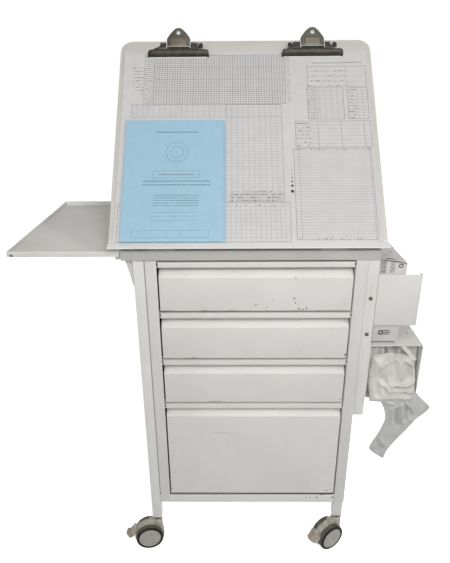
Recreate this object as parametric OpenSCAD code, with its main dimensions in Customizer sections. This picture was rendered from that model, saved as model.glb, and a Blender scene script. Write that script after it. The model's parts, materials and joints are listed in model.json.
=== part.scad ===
// Chart table on castors: a drawer cabinet on square-tube legs, with a tilting chart board,
// a drop-leaf side tray and two accessory holders. Millimetres, +Z up.

/* [Cabinet] */
// Height of the underside of the top above the floor
top_z = 856; // [825:1:880]
// Height of the underside of the base pan above the floor
base_z = 157; // [145:1:175]
// Side of the square leg tube
tube = 25; // [22:1:28]
// Wall of the leg tube
tube_wall = 1.5; // [1.2:0.1:2.5]
// Thickness of the sheet steel
sheet = 1.5; // [1:0.1:2]
// Width of the left panel's front flange
flange_w = 27; // [22:1:32]
// How far the right front leg stands back, behind the right panel's flange
leg_back = 7; // [1:0.5:10]
// Height of the base pan's folded edge
base_h = 26; // [20:1:34]
// Height of each rail between the drawers
rail_h = 12.5; // [10:0.5:16]
// Gap between the top and the upper rail
rail_gap = 5.5; // [4:0.5:8]
// Depth of each rail's returns
rail_d = 25; // [18:1:30]

/* [Drawers] */
// Height of the opening of each shallow drawer
small_h = 112.5; // [90:0.5:118]
// Gap below a drawer face
face_low = 6.5; // [4:0.5:9]
// Gap above a drawer face
face_high = 6.5; // [5:0.5:9]
// Gap beside a drawer face
face_gap_x = 3.5; // [2:0.5:5]
// Height of the bevel along the top of a drawer face
bevel_h = 18; // [14:1:22]
// How far the bevel leans back
bevel_d = 18; // [14:1:22]
// Width of the mitre at each end of the bevel
mitre_w = 10; // [6:1:14]
// Thickness of the drawer's sheet steel
drawer_sheet = 1.2; // [1:0.1:1.5]
// Depth of a drawer box, front to back
drawer_d = 390; // [350:5:400]
// Height of the shallow drawers' side walls
small_wall_h = 88; // [70:1:92]
// Height of the deep drawer's side walls
deep_wall_h = 235; // [180:5:245]
// Space from a drawer box to the panel on the right
box_gap_right = 13.5; // [12:0.5:18]
// Height of the runner strip on a drawer's side
strip_h = 5; // [4:0.5:8]
// Width of the runner strip
strip_w = 9; // [7:0.5:10]
// Clearance round the runner strip
strip_play = 0.4; // [0.3:0.1:0.8]

/* [Top] */
// Width of the top
top_w = 570; // [550:5:600]
// Depth of the top
top_d = 455; // [440:5:470]
// How far the top stands out past the legs at each side
top_side = 25; // [20:1:30]
// How far the top's front edge stands in front of the legs
top_front = 3; // [0:1:8]
// How far the top stands out behind the legs
top_back = 7; // [0:1:12]
// Height of the top's folded edge
top_h = 22; // [18:1:28]
// Width of the lip under the top's folded edge
top_lip = 15; // [10:1:20]
// Height of the corner gussets below the top
gusset_h = 81; // [60:1:100]
// How far the corner gussets end short of the top's edge
gusset_in = 5; // [2:1:8]
// Thickness of the corner gussets
gusset_t = 3; // [2:0.5:4]

/* [Side tray] */
// Width of the tray
tray_w = 247; // [200:1:260]
// Height of the tray's rims
rim_h = 13; // [10:1:18]
// Gap from the tray to the top
tray_gap = 3; // [2.5:0.5:6]
// Distance of the tray hinge's axis from the top's side
tray_pin_out = 9.5; // [8.5:0.5:12]
// Height of the tray hinge's axis above the underside of the top
tray_pin_up = 2; // [1:0.5:4]
// Radius of the tray hinge's knuckles
tray_barrel_r = 5.5; // [4.5:0.5:6.5]
// Length of each tray hinge
tray_hinge_l = 50; // [40:5:70]
// Distance of each tray hinge from the tray's front and back edges
tray_hinge_in = 12; // [8:1:40]

/* [Chart board] */
// Width of the board
board_w = 617; // [560:1:640]
// Length of the board up its slope
board_l = 531; // [480:1:560]
// Depth of the board's folded edge
board_t = 11; // [9:0.5:14]
// Radius of the board's two top corners
board_r = 30; // [15:1:45]
// Angle of the board above level
slope = 51; // [44:1:56]
// How far the board's middle lies left of the table's middle
board_left = 5.5; // [0:0.5:12]
// Distance of the board's hinge axis behind the front of the legs
hinge_y = 23; // [18:1:30]
// Radius of the board hinge's knuckles
board_barrel_r = 4; // [3.5:0.25:4.5]
// Thickness of the board hinge's leaves
leaf_t = 1.6; // [1.2:0.1:1.8]
// Distance of the board's lower edge from the hinge axis, up the slope
board_foot = 7; // [6:0.5:10]
// Height of the board's face over the hinge axis
board_face = 7; // [6.5:0.25:9]
// Reach of the ledge in front of the hinge axis
ledge_reach = 42; // [30:1:60]
// Thickness of the ledge
ledge_t = 2; // [1.5:0.1:2.5]
// Height of the ledge's underside over the hinge axis
ledge_up = 4.5; // [4.4:0.1:6]

/* [Prop stay] */
// Length of the stay, and its pivot's distance from the hinge axis
stay_l = 180; // [160:5:185]
// Radius of the stay's rod
stay_r = 3.5; // [3:0.25:3.75]
// Width of the stay, leg to leg
stay_w = 300; // [240:10:360]
// Radius of the stay's pivot pins
stay_pin_r = 3; // [2.5:0.25:3]
// Distance of each foot track from the board's middle
track_x = 100; // [70:5:110]

/* [Clips] */
// Distance of each clip from the board's middle
clip_x = 164.5; // [140:0.5:180]
// Length of a clip's jaw
jaw_w = 150; // [120:5:160]
// Width of a clip's dome
dome_w = 59; // [50:1:62]
// Length of the dome above the clip's pivot
dome_l = 46; // [42:1:56]
// Tilt of the dome off the board
dome_tilt = 12; // [8:1:16]
// Distance of the clip's pivot from the board's top edge
clip_down = 29; // [24:1:34]
// Height of the clip's pivot over the board's face
clip_up = 8; // [7.5:0.25:9]
// Radius of the clip's rod
rod_r = 3.5; // [3:0.25:3.75]
// Radius of the clip spring's wire
wire_r = 0.9; // [0.7:0.1:1.1]
// Mean radius of the clip spring
coil_r = 5; // [4.75:0.05:5.25]
// Length of each clip spring along the rod
coil_l = 10; // [8:0.5:10.5]

/* [Papers] */
// Width of the chart sheets
sheets_w = 594; // [420:2:594]
// Distance of the sheets' top edge from the board's top edge
sheets_down = 35; // [20:1:45]
// Thickness of the stack of sheets
sheets_t = 1.2; // [0.8:0.1:2]
// Width of the record file
file_w = 233; // [210:1:240]
// Height of the record file
file_h = 306; // [297:1:340]
// Thickness of the record file
file_t = 6.5; // [4:0.5:12]
// Distance of the file's left edge from the board's left edge
file_in = 25.5; // [15:0.5:40]

/* [Side holders] */
// Depth of the upright channel
channel_d = 25; // [20:1:32]
// Height of the channel's lower end above the floor
channel_z = 444; // [420:2:470]
// Height of the upper channel screw above the floor
screw_high = 762; // [740:1:790]
// Height of the lower channel screw above the floor
screw_low = 671; // [655:1:690]
// Width of the glove holder's front plate
plate_w = 98; // [85:1:110]
// Height of the glove holder's front plate
plate_h = 126; // [100:1:140]
// Height of the plate's lower edge above the bag dispenser
plate_up = 54; // [40:1:70]
// Width of the glove box
gloves_w = 60; // [50:1:70]
// Depth of the glove box
gloves_d = 120; // [100:1:125]
// Height of the glove box
gloves_h = 205; // [190:1:215]
// Width of the bag dispenser
bags_w = 124; // [105:1:135]
// Depth of the bag dispenser
bags_d = 140; // [130:1:150]
// Height of the bag dispenser
bags_h = 145; // [125:1:160]
// Height of the bag dispenser's underside above the floor
bags_z = 495; // [480:1:510]
// How far the hanging bag reaches out from the channel
film_reach = 158; // [140:1:170]

/* [Castors] */
// Radius of a castor wheel
wheel_r = 37.5; // [32:0.5:38.5]
// Width of each of a castor's two tyres
tyre_w = 14; // [11:0.5:16]
// Width of the castor body between its wheels
hood_w = 16; // [14:0.5:20]
// Distance of the axle behind the swivel axis
trail = 26; // [22:0.5:28]
// Height of the castor, floor to leg
castor_h = 100; // [98:1:106]
// Radius of the swivel stem
stem_r = 5; // [4:0.25:5.5]
// Radius of the axle
axle_r = 4; // [3:0.25:5]
// Width of the brake pedal
pedal_w = 36; // [28:1:42]
// Length of the brake pedal
pedal_l = 28; // [22:1:32]

/* [Hidden] */
$fn = 48;

enamel = [0.86, 0.86, 0.84];
drawer_enamel = [0.82, 0.82, 0.80];
clip_metal = [0.30, 0.29, 0.27];
zinc = [0.62, 0.62, 0.60];
castor_grey = [0.56, 0.55, 0.52];
tyre_grey = [0.20, 0.19, 0.18];

// Small clearances shared by every fit
fit = 0.05;
air = 0.3;

// Faces of the cabinet, measured from the middle of the legs and the front of the front legs
leg_x = top_w/2 - top_side;
cab_d = top_d - top_front - top_back;
tray_d = top_d;
gusset_w = top_side - gusset_in;
channel_w = top_side;
panel_x = leg_x - tube;
inner_x = panel_x - sheet;
open_left = -panel_x + flange_w;
open_right = inner_x;
slab_back = top_d - top_front;
slab_top = top_z + top_h;

// Drawers, counted from the top
deep_h = top_z - rail_gap - base_z - base_h - 4*rail_h - 3*small_h;
open_h = [small_h, small_h, small_h, deep_h];
wall_h = [small_wall_h, small_wall_h, small_wall_h, deep_wall_h];
function drawer_z(i) = top_z - rail_gap - (i + 1)*rail_h - min(i + 1, 3)*small_h - (i == 3 ? deep_h : 0);
box_left = open_left + strip_w + strip_play;
box_right = open_right - box_gap_right;
box_floor = 5;
strip_up = 30;
face_d = bevel_d + 2;
strip_front = face_d + 2;
face_x0 = open_left + face_gap_x;
face_x1 = open_right - face_gap_x;
function face_h(i) = open_h[i] - face_low - face_high;
runner_front = rail_d + 2*sheet + 2;

// Side tray
tray_x1 = -top_w/2 - tray_gap;
tray_x0 = tray_x1 - tray_w;
tray_pin_x = -top_w/2 - tray_pin_out;
tray_pin_z = top_z + tray_pin_up;
tray_z = tray_pin_z + tray_barrel_r + 0.5;
tray_pin_r = 2.5;
tray_hinge_mid = [tray_hinge_in + tray_hinge_l/2, tray_d - tray_hinge_in - tray_hinge_l/2];
knuckles = 5;

// Chart board: u runs up the slope from the hinge axis, w stands off the board
board_x = -board_left;
hinge_z = slab_top + leaf_t + board_barrel_r + 0.4;
cs = cos(slope);
sn = sin(slope);
ledge_top = ledge_up + ledge_t;
board_top = board_foot + board_l;
board_pin_r = 2;
board_hinge_l = 60;
board_hinge_x = 190;
board_hinge_leaf = 22;
function foot_u(w) = (ledge_top + 0.2 - w*cs)/sn;
pivot_u = board_top - clip_down;
pivot_w = board_face + clip_up;
sheets_face = board_face + sheets_t;
track_t = leaf_t + 0.4;
stop_h = 6;
bracket_t = 6;
bracket_out = stay_r + air + bracket_t;

// Clips
dome_in = dome_w/2;
lug_t = 1.6;
base_w = 94;
base_t = 1.2;
plate_t = 1.6;
jaw_back = 8;
jaw_drop = clip_up - sheets_t - air;
jaw_rise = rod_r + plate_t + 1.9;
coil_turns = 3.25;
coil_steps = 8;
coil_start = dome_in + 3.5;

// Side holders
acc_x = leg_x + channel_w;
bags_top = bags_z + bags_h;
plate_z = bags_top + plate_up;

// Castors: left front, right front, left rear, right rear
leg_mid = leg_x - tube/2;
leg_back_y = cab_d - tube/2;
castor_at = [[-leg_mid, tube/2], [leg_mid, leg_back + tube/2],
    [-leg_mid, leg_back_y], [leg_mid, leg_back_y]];
castor_turn = [190, 210, -100, -75];
wheel_gap = hood_w + 2;
disc_r = wheel_r - 6.5;
arch_r = wheel_r + 3.5;
boss_r = 12;
boss_top = castor_h - 10;
hub_a = 30;
hub_d = arch_r + 3;
hub_r = 4.5;
hub_pin_r = 1.5;
pedal_tilt = 35;
pedal_low = 2;
pedal_t = 4.5;
pedal_round = 10;

// How far the right front castor's pedal reaches in front of the swivel axis
pedal_turn = castor_turn[1] - 180;
pedal_mid = trail + hub_d*cos(hub_a) + (pedal_l - pedal_round)*cos(pedal_tilt) + (pedal_t - pedal_low)*sin(pedal_tilt);
pedal_front = pedal_mid*sin(pedal_turn) + pedal_w/2*norm([sin(pedal_turn)*cos(pedal_tilt), cos(pedal_turn)]);

// The origin is on the floor, under the middle of the table's whole outline
origin_x = (tray_x0 + acc_x + film_reach)/2;
origin_y = (castor_at[1][1] - pedal_front + max(slab_back, tray_d))/2;
echo(origin = [origin_x, origin_y]);

module in_frame() { translate([-origin_x, -origin_y, 0]) children(); }

module at_hinge() { in_frame() translate([board_x, hinge_y, hinge_z]) children(); }

module on_board() { at_hinge() rotate([slope, 0, 0]) children(); }

// A block between two corners
module block(a, b) { translate(a) cube(b - a); }

// An outline in Y and Z, drawn out evenly to both sides along X
module along_x(len) { translate([-len/2, 0, 0]) rotate([90, 0, 90]) linear_extrude(len) children(); }

// An outline in X and Z, drawn out towards the back along Y
module along_y(len) { translate([0, len, 0]) rotate([90, 0, 0]) linear_extrude(len) children(); }

module rod_x(r, len) { translate([-len/2, 0, 0]) rotate([0, 90, 0]) cylinder(r = r, h = len); }

module rod_y(r, len) { translate([0, -len/2, 0]) rotate([-90, 0, 0]) cylinder(r = r, h = len); }

// Legs

module leg(x, y) {
    color(enamel) in_frame() difference() {
        block([x, y, castor_h], [x + tube, y + tube, slab_top - sheet]);
        block([x + tube_wall, y + tube_wall, castor_h - 1],
              [x + tube - tube_wall, y + tube - tube_wall, slab_top]);
    }
}

module leg_front_left() { leg(-leg_x, 0); }
module leg_front_right() { leg(leg_x - tube, leg_back); }
module leg_rear_left() { leg(-leg_x, cab_d - tube); }
module leg_rear_right() { leg(leg_x - tube, cab_d - tube); }

// Cabinet shell

module cabinet_base() {
    color(enamel) in_frame() difference() {
        block([-inner_x, 0, base_z], [inner_x, cab_d - sheet, base_z + base_h]);
        block([-inner_x + sheet, sheet, base_z + sheet],
              [inner_x - sheet, cab_d - 2*sheet, base_z + base_h + 1]);
        block([-inner_x - 1, -1, base_z - 1], [open_left, sheet, base_z + base_h + 1]);
    }
}

module side_panel_left() {
    color(enamel) in_frame() {
        block([-panel_x, 0, base_z], [-inner_x, cab_d, top_z]);
        block([-inner_x, 0, base_z], [open_left, sheet, top_z]);
    }
}

module side_panel_right() {
    color(enamel) in_frame() {
        block([inner_x, -sheet, base_z], [panel_x, cab_d, top_z]);
        block([panel_x, -sheet, base_z], [leg_x, 0, top_z]);
    }
}

module back_panel() {
    color(enamel) in_frame() block([-inner_x, cab_d - sheet, base_z], [inner_x, cab_d, top_z]);
}

module rail_outline() {
    difference() {
        square([rail_d, rail_h]);
        translate([sheet, sheet]) square([rail_d, rail_h - 2*sheet]);
    }
}

module divider_rails() {
    color(enamel) in_frame() for (i = [0:3]) translate([0, 0, drawer_z(i) + open_h[i]]) difference() {
        along_x(2*inner_x) rail_outline();
        block([-inner_x - 1, -1, -1], [face_x0, sheet + air, rail_h + 1]);
        block([face_x1, -1, -1], [inner_x + 1, sheet + air, rail_h + 1]);
    }
}

// A runner channel, open towards the drawer; reach is measured from its web
module runner(reach) {
    h = strip_h + 2*strip_play;
    along_y(cab_d - 2*sheet - runner_front) difference() {
        translate([0, -sheet]) square([reach, h + 2*sheet]);
        translate([sheet, 0]) square([reach, h]);
    }
}

module cabinet_runners() {
    color(zinc) in_frame() for (i = [0:3]) translate([0, runner_front, drawer_z(i) + strip_up - strip_play]) {
        translate([-inner_x, 0, 0]) runner(box_left + inner_x - air - fit);
        translate([inner_x, 0, 0]) mirror([1, 0, 0]) runner(inner_x - box_right - air - fit);
    }
}

module top_slab() {
    color(enamel) in_frame() difference() {
        block([-top_w/2, -top_front, top_z], [top_w/2, slab_back, slab_top]);
        block([-top_w/2 + sheet, -top_front + sheet, top_z + sheet],
              [top_w/2 - sheet, slab_back - sheet, slab_top - sheet]);
        block([-top_w/2 + top_lip, -top_front + top_lip, top_z - 1],
              [top_w/2 - top_lip, slab_back - top_lip, top_z + 2*sheet]);
        for (p = castor_at) translate([p[0] - tube/2 - air, p[1] - tube/2 - air, top_z - 1])
            cube([tube + 2*air, tube + 2*air, sheet + 2]);
    }
}

module corner_gussets() {
    color(enamel) in_frame() for (y = [tube/2, cab_d - tube/2 - gusset_t])
        translate([-leg_x, y, top_z]) along_y(gusset_t) polygon([[0, 0], [-gusset_w, 0], [0, -gusset_h]]);
}

// Hinges: knuckles 0, 2 and 4 are fixed, 1 and 3 move

module knuckle_row(len, odd) {
    step = len/knuckles;
    for (i = [odd:2:knuckles - 1]) translate([(i + 0.5)*step - len/2, 0, 0]) children();
}

module tray_knuckles(odd, web) {
    step = tray_hinge_l/knuckles - air;
    for (y = tray_hinge_mid) translate([tray_pin_x, y, tray_pin_z]) rotate([0, 0, 90]) difference() {
        knuckle_row(tray_hinge_l, odd) {
            rod_x(tray_barrel_r, step);
            along_x(step) polygon(web);
        }
        rod_x(tray_pin_r + fit, tray_hinge_l + 2);
    }
}

module tray_hinge_leaves() {
    leaf_x = -top_w/2 - leaf_t;
    reach = -(leaf_x - tray_pin_x);
    color(enamel) in_frame() {
        tray_knuckles(0, [[0, -3], [reach, -3], [reach, 3], [0, 3]]);
        for (y = tray_hinge_mid)
            block([leaf_x, y - tray_hinge_l/2, top_z + 1], [-top_w/2, y + tray_hinge_l/2, slab_top - 2]);
    }
}

module tray_hinge_knuckles() {
    up = tray_z - tray_pin_z;
    color(enamel) in_frame() tray_knuckles(1, [[-3, 0], [3, 0], [3, up], [-3, up]]);
}

module tray_hinge_pins() {
    color(zinc) in_frame() for (y = tray_hinge_mid)
        translate([tray_pin_x, y, tray_pin_z]) rod_y(tray_pin_r, tray_hinge_l);
}

module side_tray() {
    color(enamel) in_frame() difference() {
        block([tray_x0, 0, tray_z], [tray_x1, tray_d, tray_z + rim_h]);
        block([tray_x0 + sheet, sheet, tray_z + sheet], [tray_x1 + 1, tray_d - sheet, tray_z + rim_h + 1]);
    }
}

module board_knuckles(odd, web) {
    step = board_hinge_l/knuckles - air;
    for (x = [-board_hinge_x, board_hinge_x]) translate([x, 0, 0]) difference() {
        knuckle_row(board_hinge_l, odd) {
            rod_x(board_barrel_r, step);
            along_x(step) polygon(web);
        }
        rod_x(board_pin_r + fit, board_hinge_l + 2);
    }
}

module board_hinge_leaves() {
    down = slab_top + leaf_t - hinge_z;
    color(enamel) at_hinge() {
        board_knuckles(0, [[-3, 0], [3, 0], [3, down], [-3, down]]);
        for (x = [-board_hinge_x, board_hinge_x])
            block([x - board_hinge_l/2, -board_hinge_leaf, down - leaf_t], [x + board_hinge_l/2, 4, down]);
    }
}

module board_hinge_knuckles() {
    color(enamel) at_hinge() board_knuckles(1, [[-3, 0], [3, 0], [3, ledge_up], [-3, ledge_up]]);
}

module board_hinge_pins() {
    color(zinc) at_hinge() for (x = [-board_hinge_x, board_hinge_x])
        translate([x, 0, 0]) rod_x(board_pin_r, board_hinge_l);
}

// Chart board

// A rectangle with its two top corners rounded
module board_outline(w, l, r) {
    translate([-w/2, 0]) square([w, l - r]);
    translate([-w/2 + r, 0]) square([w - 2*r, l]);
    for (s = [-1, 1]) translate([s*(w/2 - r), l - r]) circle(r);
}

module chart_board() {
    color(enamel) on_board() translate([0, board_foot, board_face - board_t]) difference() {
        linear_extrude(board_t) board_outline(board_w, board_l, board_r);
        translate([0, sheet, -1]) linear_extrude(board_t + 1 - sheet)
            board_outline(board_w - 2*sheet, board_l - 2*sheet, board_r - sheet);
    }
}

// The ledge is level at rest; its back edge is folded up along the board's lower edge
module board_ledge() {
    low = board_foot - sheet;
    function at(u, w) = [u*cs - w*sn, u*sn + w*cs];
    function level(u, z) = at(u, (z - u*sn)/cs);
    color(enamel) at_hinge() along_x(board_w) polygon([
        [-ledge_reach, ledge_up], [-ledge_reach, ledge_top], level(low, ledge_top),
        at(low, board_face), at(board_foot, board_face), level(board_foot, ledge_up)]);
}

module stay_brackets() {
    roof = board_face - sheet;
    color(zinc) on_board() for (s = [-1, 1]) translate([s*(stay_w/2 + bracket_out - bracket_t/2), stay_l, 0])
        difference() {
            translate([-bracket_t/2, -7, -5]) cube([bracket_t, 14, roof + 5]);
            rod_x(stay_pin_r + fit, 20);
        }
}

module prop_stay() {
    color(zinc) on_board() translate([0, stay_l, 0]) rotate([-2*slope, 0, 0]) {
        for (s = [-1, 1]) translate([s*stay_w/2, 0, 0]) {
            sphere(stay_r);
            rotate([-90, 0, 0]) cylinder(r = stay_r, h = stay_l);
            translate([0, stay_l, 0]) sphere(stay_r);
            translate([s*bracket_out/2, 0, 0]) rod_x(stay_pin_r, bracket_out);
        }
        translate([0, stay_l, 0]) rod_x(stay_r, stay_w);
    }
}

// Two strips that the stay's foot slides along, with a stop at each end
module stay_track() {
    near = 2*stay_l*cs - stay_r - air;
    far = 2*stay_l + stay_r + air;
    low = slab_top - hinge_z;
    color(zinc) at_hinge() for (s = [-1, 1]) {
        block([s*track_x - 8, near - 4, low], [s*track_x + 8, far + 4, low + track_t]);
        block([s*track_x - 8, near - 4, low], [s*track_x + 8, near, low + stop_h]);
        block([s*track_x - 8, far, low], [s*track_x + 8, far + 4, low + stop_h]);
    }
}

// Papers

module chart_sheets() {
    low = foot_u(board_face);
    notch_u = pivot_u - 12;
    color([0.86, 0.86, 0.87]) on_board() difference() {
        block([-sheets_w/2, low, board_face], [sheets_w/2, board_top - sheets_down, sheets_face]);
        for (s = [-1, 1]) translate([s*clip_x - base_w/2 - air, notch_u, board_face - 1])
            cube([base_w + 2*air, 3*clip_down, sheets_t + 2]);
    }
}

module record_file() {
    x0 = -board_w/2 + file_in;
    low = foot_u(sheets_face + air);
    color([0.62, 0.76, 0.84]) on_board()
        block([x0, low, sheets_face + air], [x0 + file_w, low + file_h, sheets_face + air + file_t]);
}

// Clips: v runs up the slope from the clip's pivot

module at_clip(s) { on_board() translate([s*clip_x, pivot_u, pivot_w]) children(); }

module clip_base() {
    block([-base_w/2, -11, -clip_up], [base_w/2, clip_down - 5, -clip_up + base_t]);
    for (s = [-1, 1]) translate([s*(base_w/2 - lug_t/2), 0, 0]) along_x(lug_t) {
        circle(rod_r + 3);
        translate([-rod_r - 3, -clip_up]) square([2*rod_r + 6, clip_up]);
    }
    rod_x(rod_r, base_w + 4);
}

module clip_bases() {
    color(clip_metal) for (s = [-1, 1]) at_clip(s) clip_base();
}

// The spring's line: a short leg on the base, the turns, and a tail that stands up
function coil_turn(k) = let (a = -90 + 360*k/coil_steps)
    [coil_start + coil_l*k/(coil_turns*coil_steps), coil_r*cos(a), coil_r*sin(a)];
coil_count = coil_turns*coil_steps;
coil_line = concat(
    [for (v = [-9, -6, -3]) [coil_start, v, -coil_r]],
    [for (k = [0:coil_count]) coil_turn(k)],
    [for (w = [2, 4, 6]) [coil_start + coil_l, coil_r, w]]);

// Least space between one turn and the next, surface to surface
coil_space = min([for (i = [0:coil_count - coil_steps], j = [i + coil_steps/2:coil_count])
    norm(coil_turn(i) - coil_turn(j))]) - 2*wire_r;
echo(clip_spring_least_gap = coil_space);

function unit(v) = v/norm(v);

// A tube of six sides swept along a line of points
module tube_along(line, r) {
    n = len(line);
    sides = 6;
    ring = [for (i = [0:n - 1])
        let (t = unit(line[min(i + 1, n - 1)] - line[max(i - 1, 0)]),
             a = unit(cross(t, [1, 0.05, 0.02])),
             b = cross(t, a))
        for (k = [0:sides - 1]) line[i] + r*(cos(60*k)*a + sin(60*k)*b)];
    sides_faces = [for (i = [0:n - 2], k = [0:sides - 1])
        let (p = i*sides + k, q = i*sides + (k + 1) % sides)
        each [[p, q, q + sides], [p, q + sides, p + sides]]];
    end_faces = [for (k = [1:sides - 2]) each [[0, k + 1, k],
        [(n - 1)*sides, (n - 1)*sides + k, (n - 1)*sides + k + 1]]];
    polyhedron(points = ring, faces = concat(sides_faces, end_faces));
}

module clip_springs() {
    color(clip_metal) for (s = [-1, 1]) at_clip(s) {
        tube_along(coil_line, wire_r);
        mirror([1, 0, 0]) tube_along(coil_line, wire_r);
    }
}

module dome_outline() {
    translate([-dome_in, -jaw_back]) square([dome_w, dome_l + jaw_back - dome_in]);
    translate([0, dome_l - dome_in]) circle(dome_in);
}

// The jaw is a quarter ring, cut back at its ends
module jaw_outline() {
    corner = 10;
    polygon([[-jaw_w/2, -30], [jaw_w/2, -30], [jaw_w/2, -15], [jaw_w/2 - corner, -11], [dome_in + 2, -2],
        [-dome_in - 2, -2], [-jaw_w/2 + corner, -11], [-jaw_w/2, -15]]);
}

module clip_lever() {
    ring = jaw_drop + jaw_rise;
    difference() {
        union() {
            translate([0, 0, jaw_rise - plate_t]) rotate([dome_tilt, 0, 0]) difference() {
                linear_extrude(plate_t) dome_outline();
                translate([0, dome_l - 12, -1]) cylinder(r = 4, h = plate_t + 2);
            }
            intersection() {
                along_x(jaw_w) translate([-jaw_back, -jaw_drop]) intersection() {
                    difference() {
                        circle(ring);
                        circle(ring - plate_t);
                    }
                    translate([-ring, 0]) square([ring, ring]);
                }
                translate([0, 0, -20]) linear_extrude(60) jaw_outline();
            }
            for (s = [-1, 1]) translate([s*(dome_in - lug_t/2), 0, 0]) along_x(lug_t) {
                circle(rod_r + 2.5);
                translate([-rod_r - 2.5, 0]) square([2*rod_r + 5, jaw_rise - 1]);
            }
        }
        rod_x(rod_r + fit, dome_w + 4);
    }
}

module clip_left_lever() { color(clip_metal) at_clip(-1) clip_lever(); }
module clip_right_lever() { color(clip_metal) at_clip(1) clip_lever(); }

// Side holders

module side_channel() {
    color(enamel) in_frame() difference() {
        block([leg_x, 0, channel_z], [acc_x, channel_d, top_z]);
        block([leg_x + sheet, sheet, channel_z - 1], [acc_x - sheet, channel_d + 1, top_z + 1]);
        for (z = [screw_high, screw_low]) translate([leg_x + channel_w/2, 0, z]) rod_y(2 + 3*fit, 10);
    }
}

module channel_screws() {
    color(zinc) in_frame() for (z = [screw_high, screw_low]) translate([leg_x + channel_w/2, 0, z]) {
        translate([0, -2.5, 0]) rotate([-90, 0, 0]) cylinder(r = 4.5, h = 2.5);
        rotate([-90, 0, 0]) cylinder(r = 2, h = 12);
    }
}

// A plate in front of the glove box, with a side wall, a back and a short return
module glove_holder() {
    back = gloves_d + 10;
    color(enamel) in_frame() translate([acc_x, 0, plate_z]) {
        block([0, -sheet, 0], [plate_w, 0, plate_h]);
        block([0, 0, 0], [sheet, back, plate_h]);
        block([sheet, back - sheet, 0], [gloves_w + 5, back, plate_h]);
        block([plate_w - sheet, 0, 0], [plate_w, 14, plate_h]);
    }
}

module glove_box() {
    wall = 1.2;
    color([0.80, 0.78, 0.78]) in_frame() translate([acc_x + sheet + 0.5, 4, bags_top]) difference() {
        cube([gloves_w, gloves_d, gloves_h]);
        translate([wall, wall, wall]) cube([gloves_w - 2*wall, gloves_d - 2*wall, gloves_h - 2*wall]);
        translate([gloves_w/2, gloves_d/2, gloves_h - 3]) linear_extrude(6) {
            square([gloves_w/2 - 4, gloves_d/2], center = true);
            for (s = [-1, 1]) translate([0, s*gloves_d/4]) circle(gloves_w/4 - 2);
        }
    }
}

module bag_dispenser() {
    color(enamel) in_frame() translate([acc_x, 0, bags_z]) difference() {
        cube([bags_w, bags_d, bags_h]);
        translate([sheet, -1, sheet]) cube([bags_w - 2*sheet, bags_d + 1 - sheet, bags_h - 2*sheet]);
    }
}

// A loose bundle of bags in the dispenser, with one hanging out
module bag_film() {
    k = film_reach/158;
    bulge = 18*k;
    x0 = sheet + 3 + bulge;
    x1 = bags_w - sheet - 3 - bulge;
    top = bags_h - 28*k - bulge;
    color([0.84, 0.84, 0.82]) in_frame() translate([acc_x, 0, bags_z]) {
        hull() for (x = [x0, x1], p = [[4, sheet + bulge], [bags_d - 30*k, sheet + bulge],
            [-4, top - 30*k], [bags_d - 34*k, top]]) translate([x, p[0], p[1]]) sphere(bulge, $fn = 16);
        translate([0, -20, 0]) along_y(10) scale(k) polygon([[26, 12], [48, -24], [53, -52], [42, -90], [22, -145],
            [62, -177], [92, -110], [128, -61], [158, -32], [120, -2], [100, 20]]);
    }
}

// Drawers

module face_outline(i, inset) {
    x0 = face_x0 + inset;
    x1 = face_x1 - inset;
    h = face_h(i) - inset;
    polygon([[x0, inset], [x1, inset], [x1, h - bevel_h], [x1 - mitre_w, h], [x0 + mitre_w, h], [x0, h - bevel_h]]);
}

module face_shape(i, inset) {
    h = face_h(i) - inset;
    intersection() {
        translate([(face_x0 + face_x1)/2, 0, 0]) along_x(face_x1 - face_x0 - 2*inset)
            polygon([[face_d, inset], [inset, inset], [inset, h - bevel_h], [bevel_d, h], [face_d, h]]);
        along_y(face_d) face_outline(i, inset);
    }
}

module drawer_front(i) {
    color(drawer_enamel) in_frame() translate([0, 0, drawer_z(i) + face_low]) {
        difference() {
            face_shape(i, 0);
            translate([0, fit, 0]) face_shape(i, drawer_sheet);
        }
        block([face_x0, face_d, 0], [face_x1, face_d + drawer_sheet, face_h(i)]);
    }
}

module drawer_box(i) {
    t = drawer_sheet;
    z = drawer_z(i);
    color(drawer_enamel) in_frame() {
        difference() {
            block([box_left, face_d + t, z + box_floor], [box_right, face_d + drawer_d, z + box_floor + wall_h[i]]);
            block([box_left + t, face_d + 2*t, z + box_floor + t],
                  [box_right - t, face_d + drawer_d - t, z + box_floor + wall_h[i] + 1]);
        }
        for (x = [box_left - strip_w, box_right]) block([x, strip_front, z + strip_up],
            [x + strip_w, face_d + drawer_d, z + strip_up + strip_h]);
    }
}

module drawer_1_front() { drawer_front(0); }
module drawer_2_front() { drawer_front(1); }
module drawer_3_front() { drawer_front(2); }
module drawer_4_front() { drawer_front(3); }
module drawer_1_box() { drawer_box(0); }
module drawer_2_box() { drawer_box(1); }
module drawer_3_box() { drawer_box(2); }
module drawer_4_box() { drawer_box(3); }

// Castors: x runs from the swivel axis towards the axle

module at_castor(i) {
    in_frame() translate([castor_at[i][0], castor_at[i][1], 0]) rotate([0, 0, castor_turn[i]]) children();
}

module castor_stems() {
    plug = tube - 2*tube_wall - 2*fit;
    color(zinc) in_frame() for (p = castor_at) translate([p[0], p[1], 0]) {
        translate([-plug/2, -plug/2, castor_h]) cube([plug, plug, 30]);
        translate([-tube/2 + 1, -tube/2 + 1, castor_h - 3]) cube([tube - 2, tube - 2, 3]);
        translate([0, 0, boss_top + air]) cylinder(r = stem_r + 3, h = castor_h - boss_top);
        translate([0, 0, wheel_r + axle_r + 18]) cylinder(r = stem_r, h = 45);
    }
}

module hood_outline() {
    intersection() {
        translate([trail, wheel_r]) circle(arch_r);
        translate([-30, 20]) square([150, 100]);
    }
    translate([-boss_r, wheel_r + 8]) square([trail + boss_r, boss_top - wheel_r - 12]);
}

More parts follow.
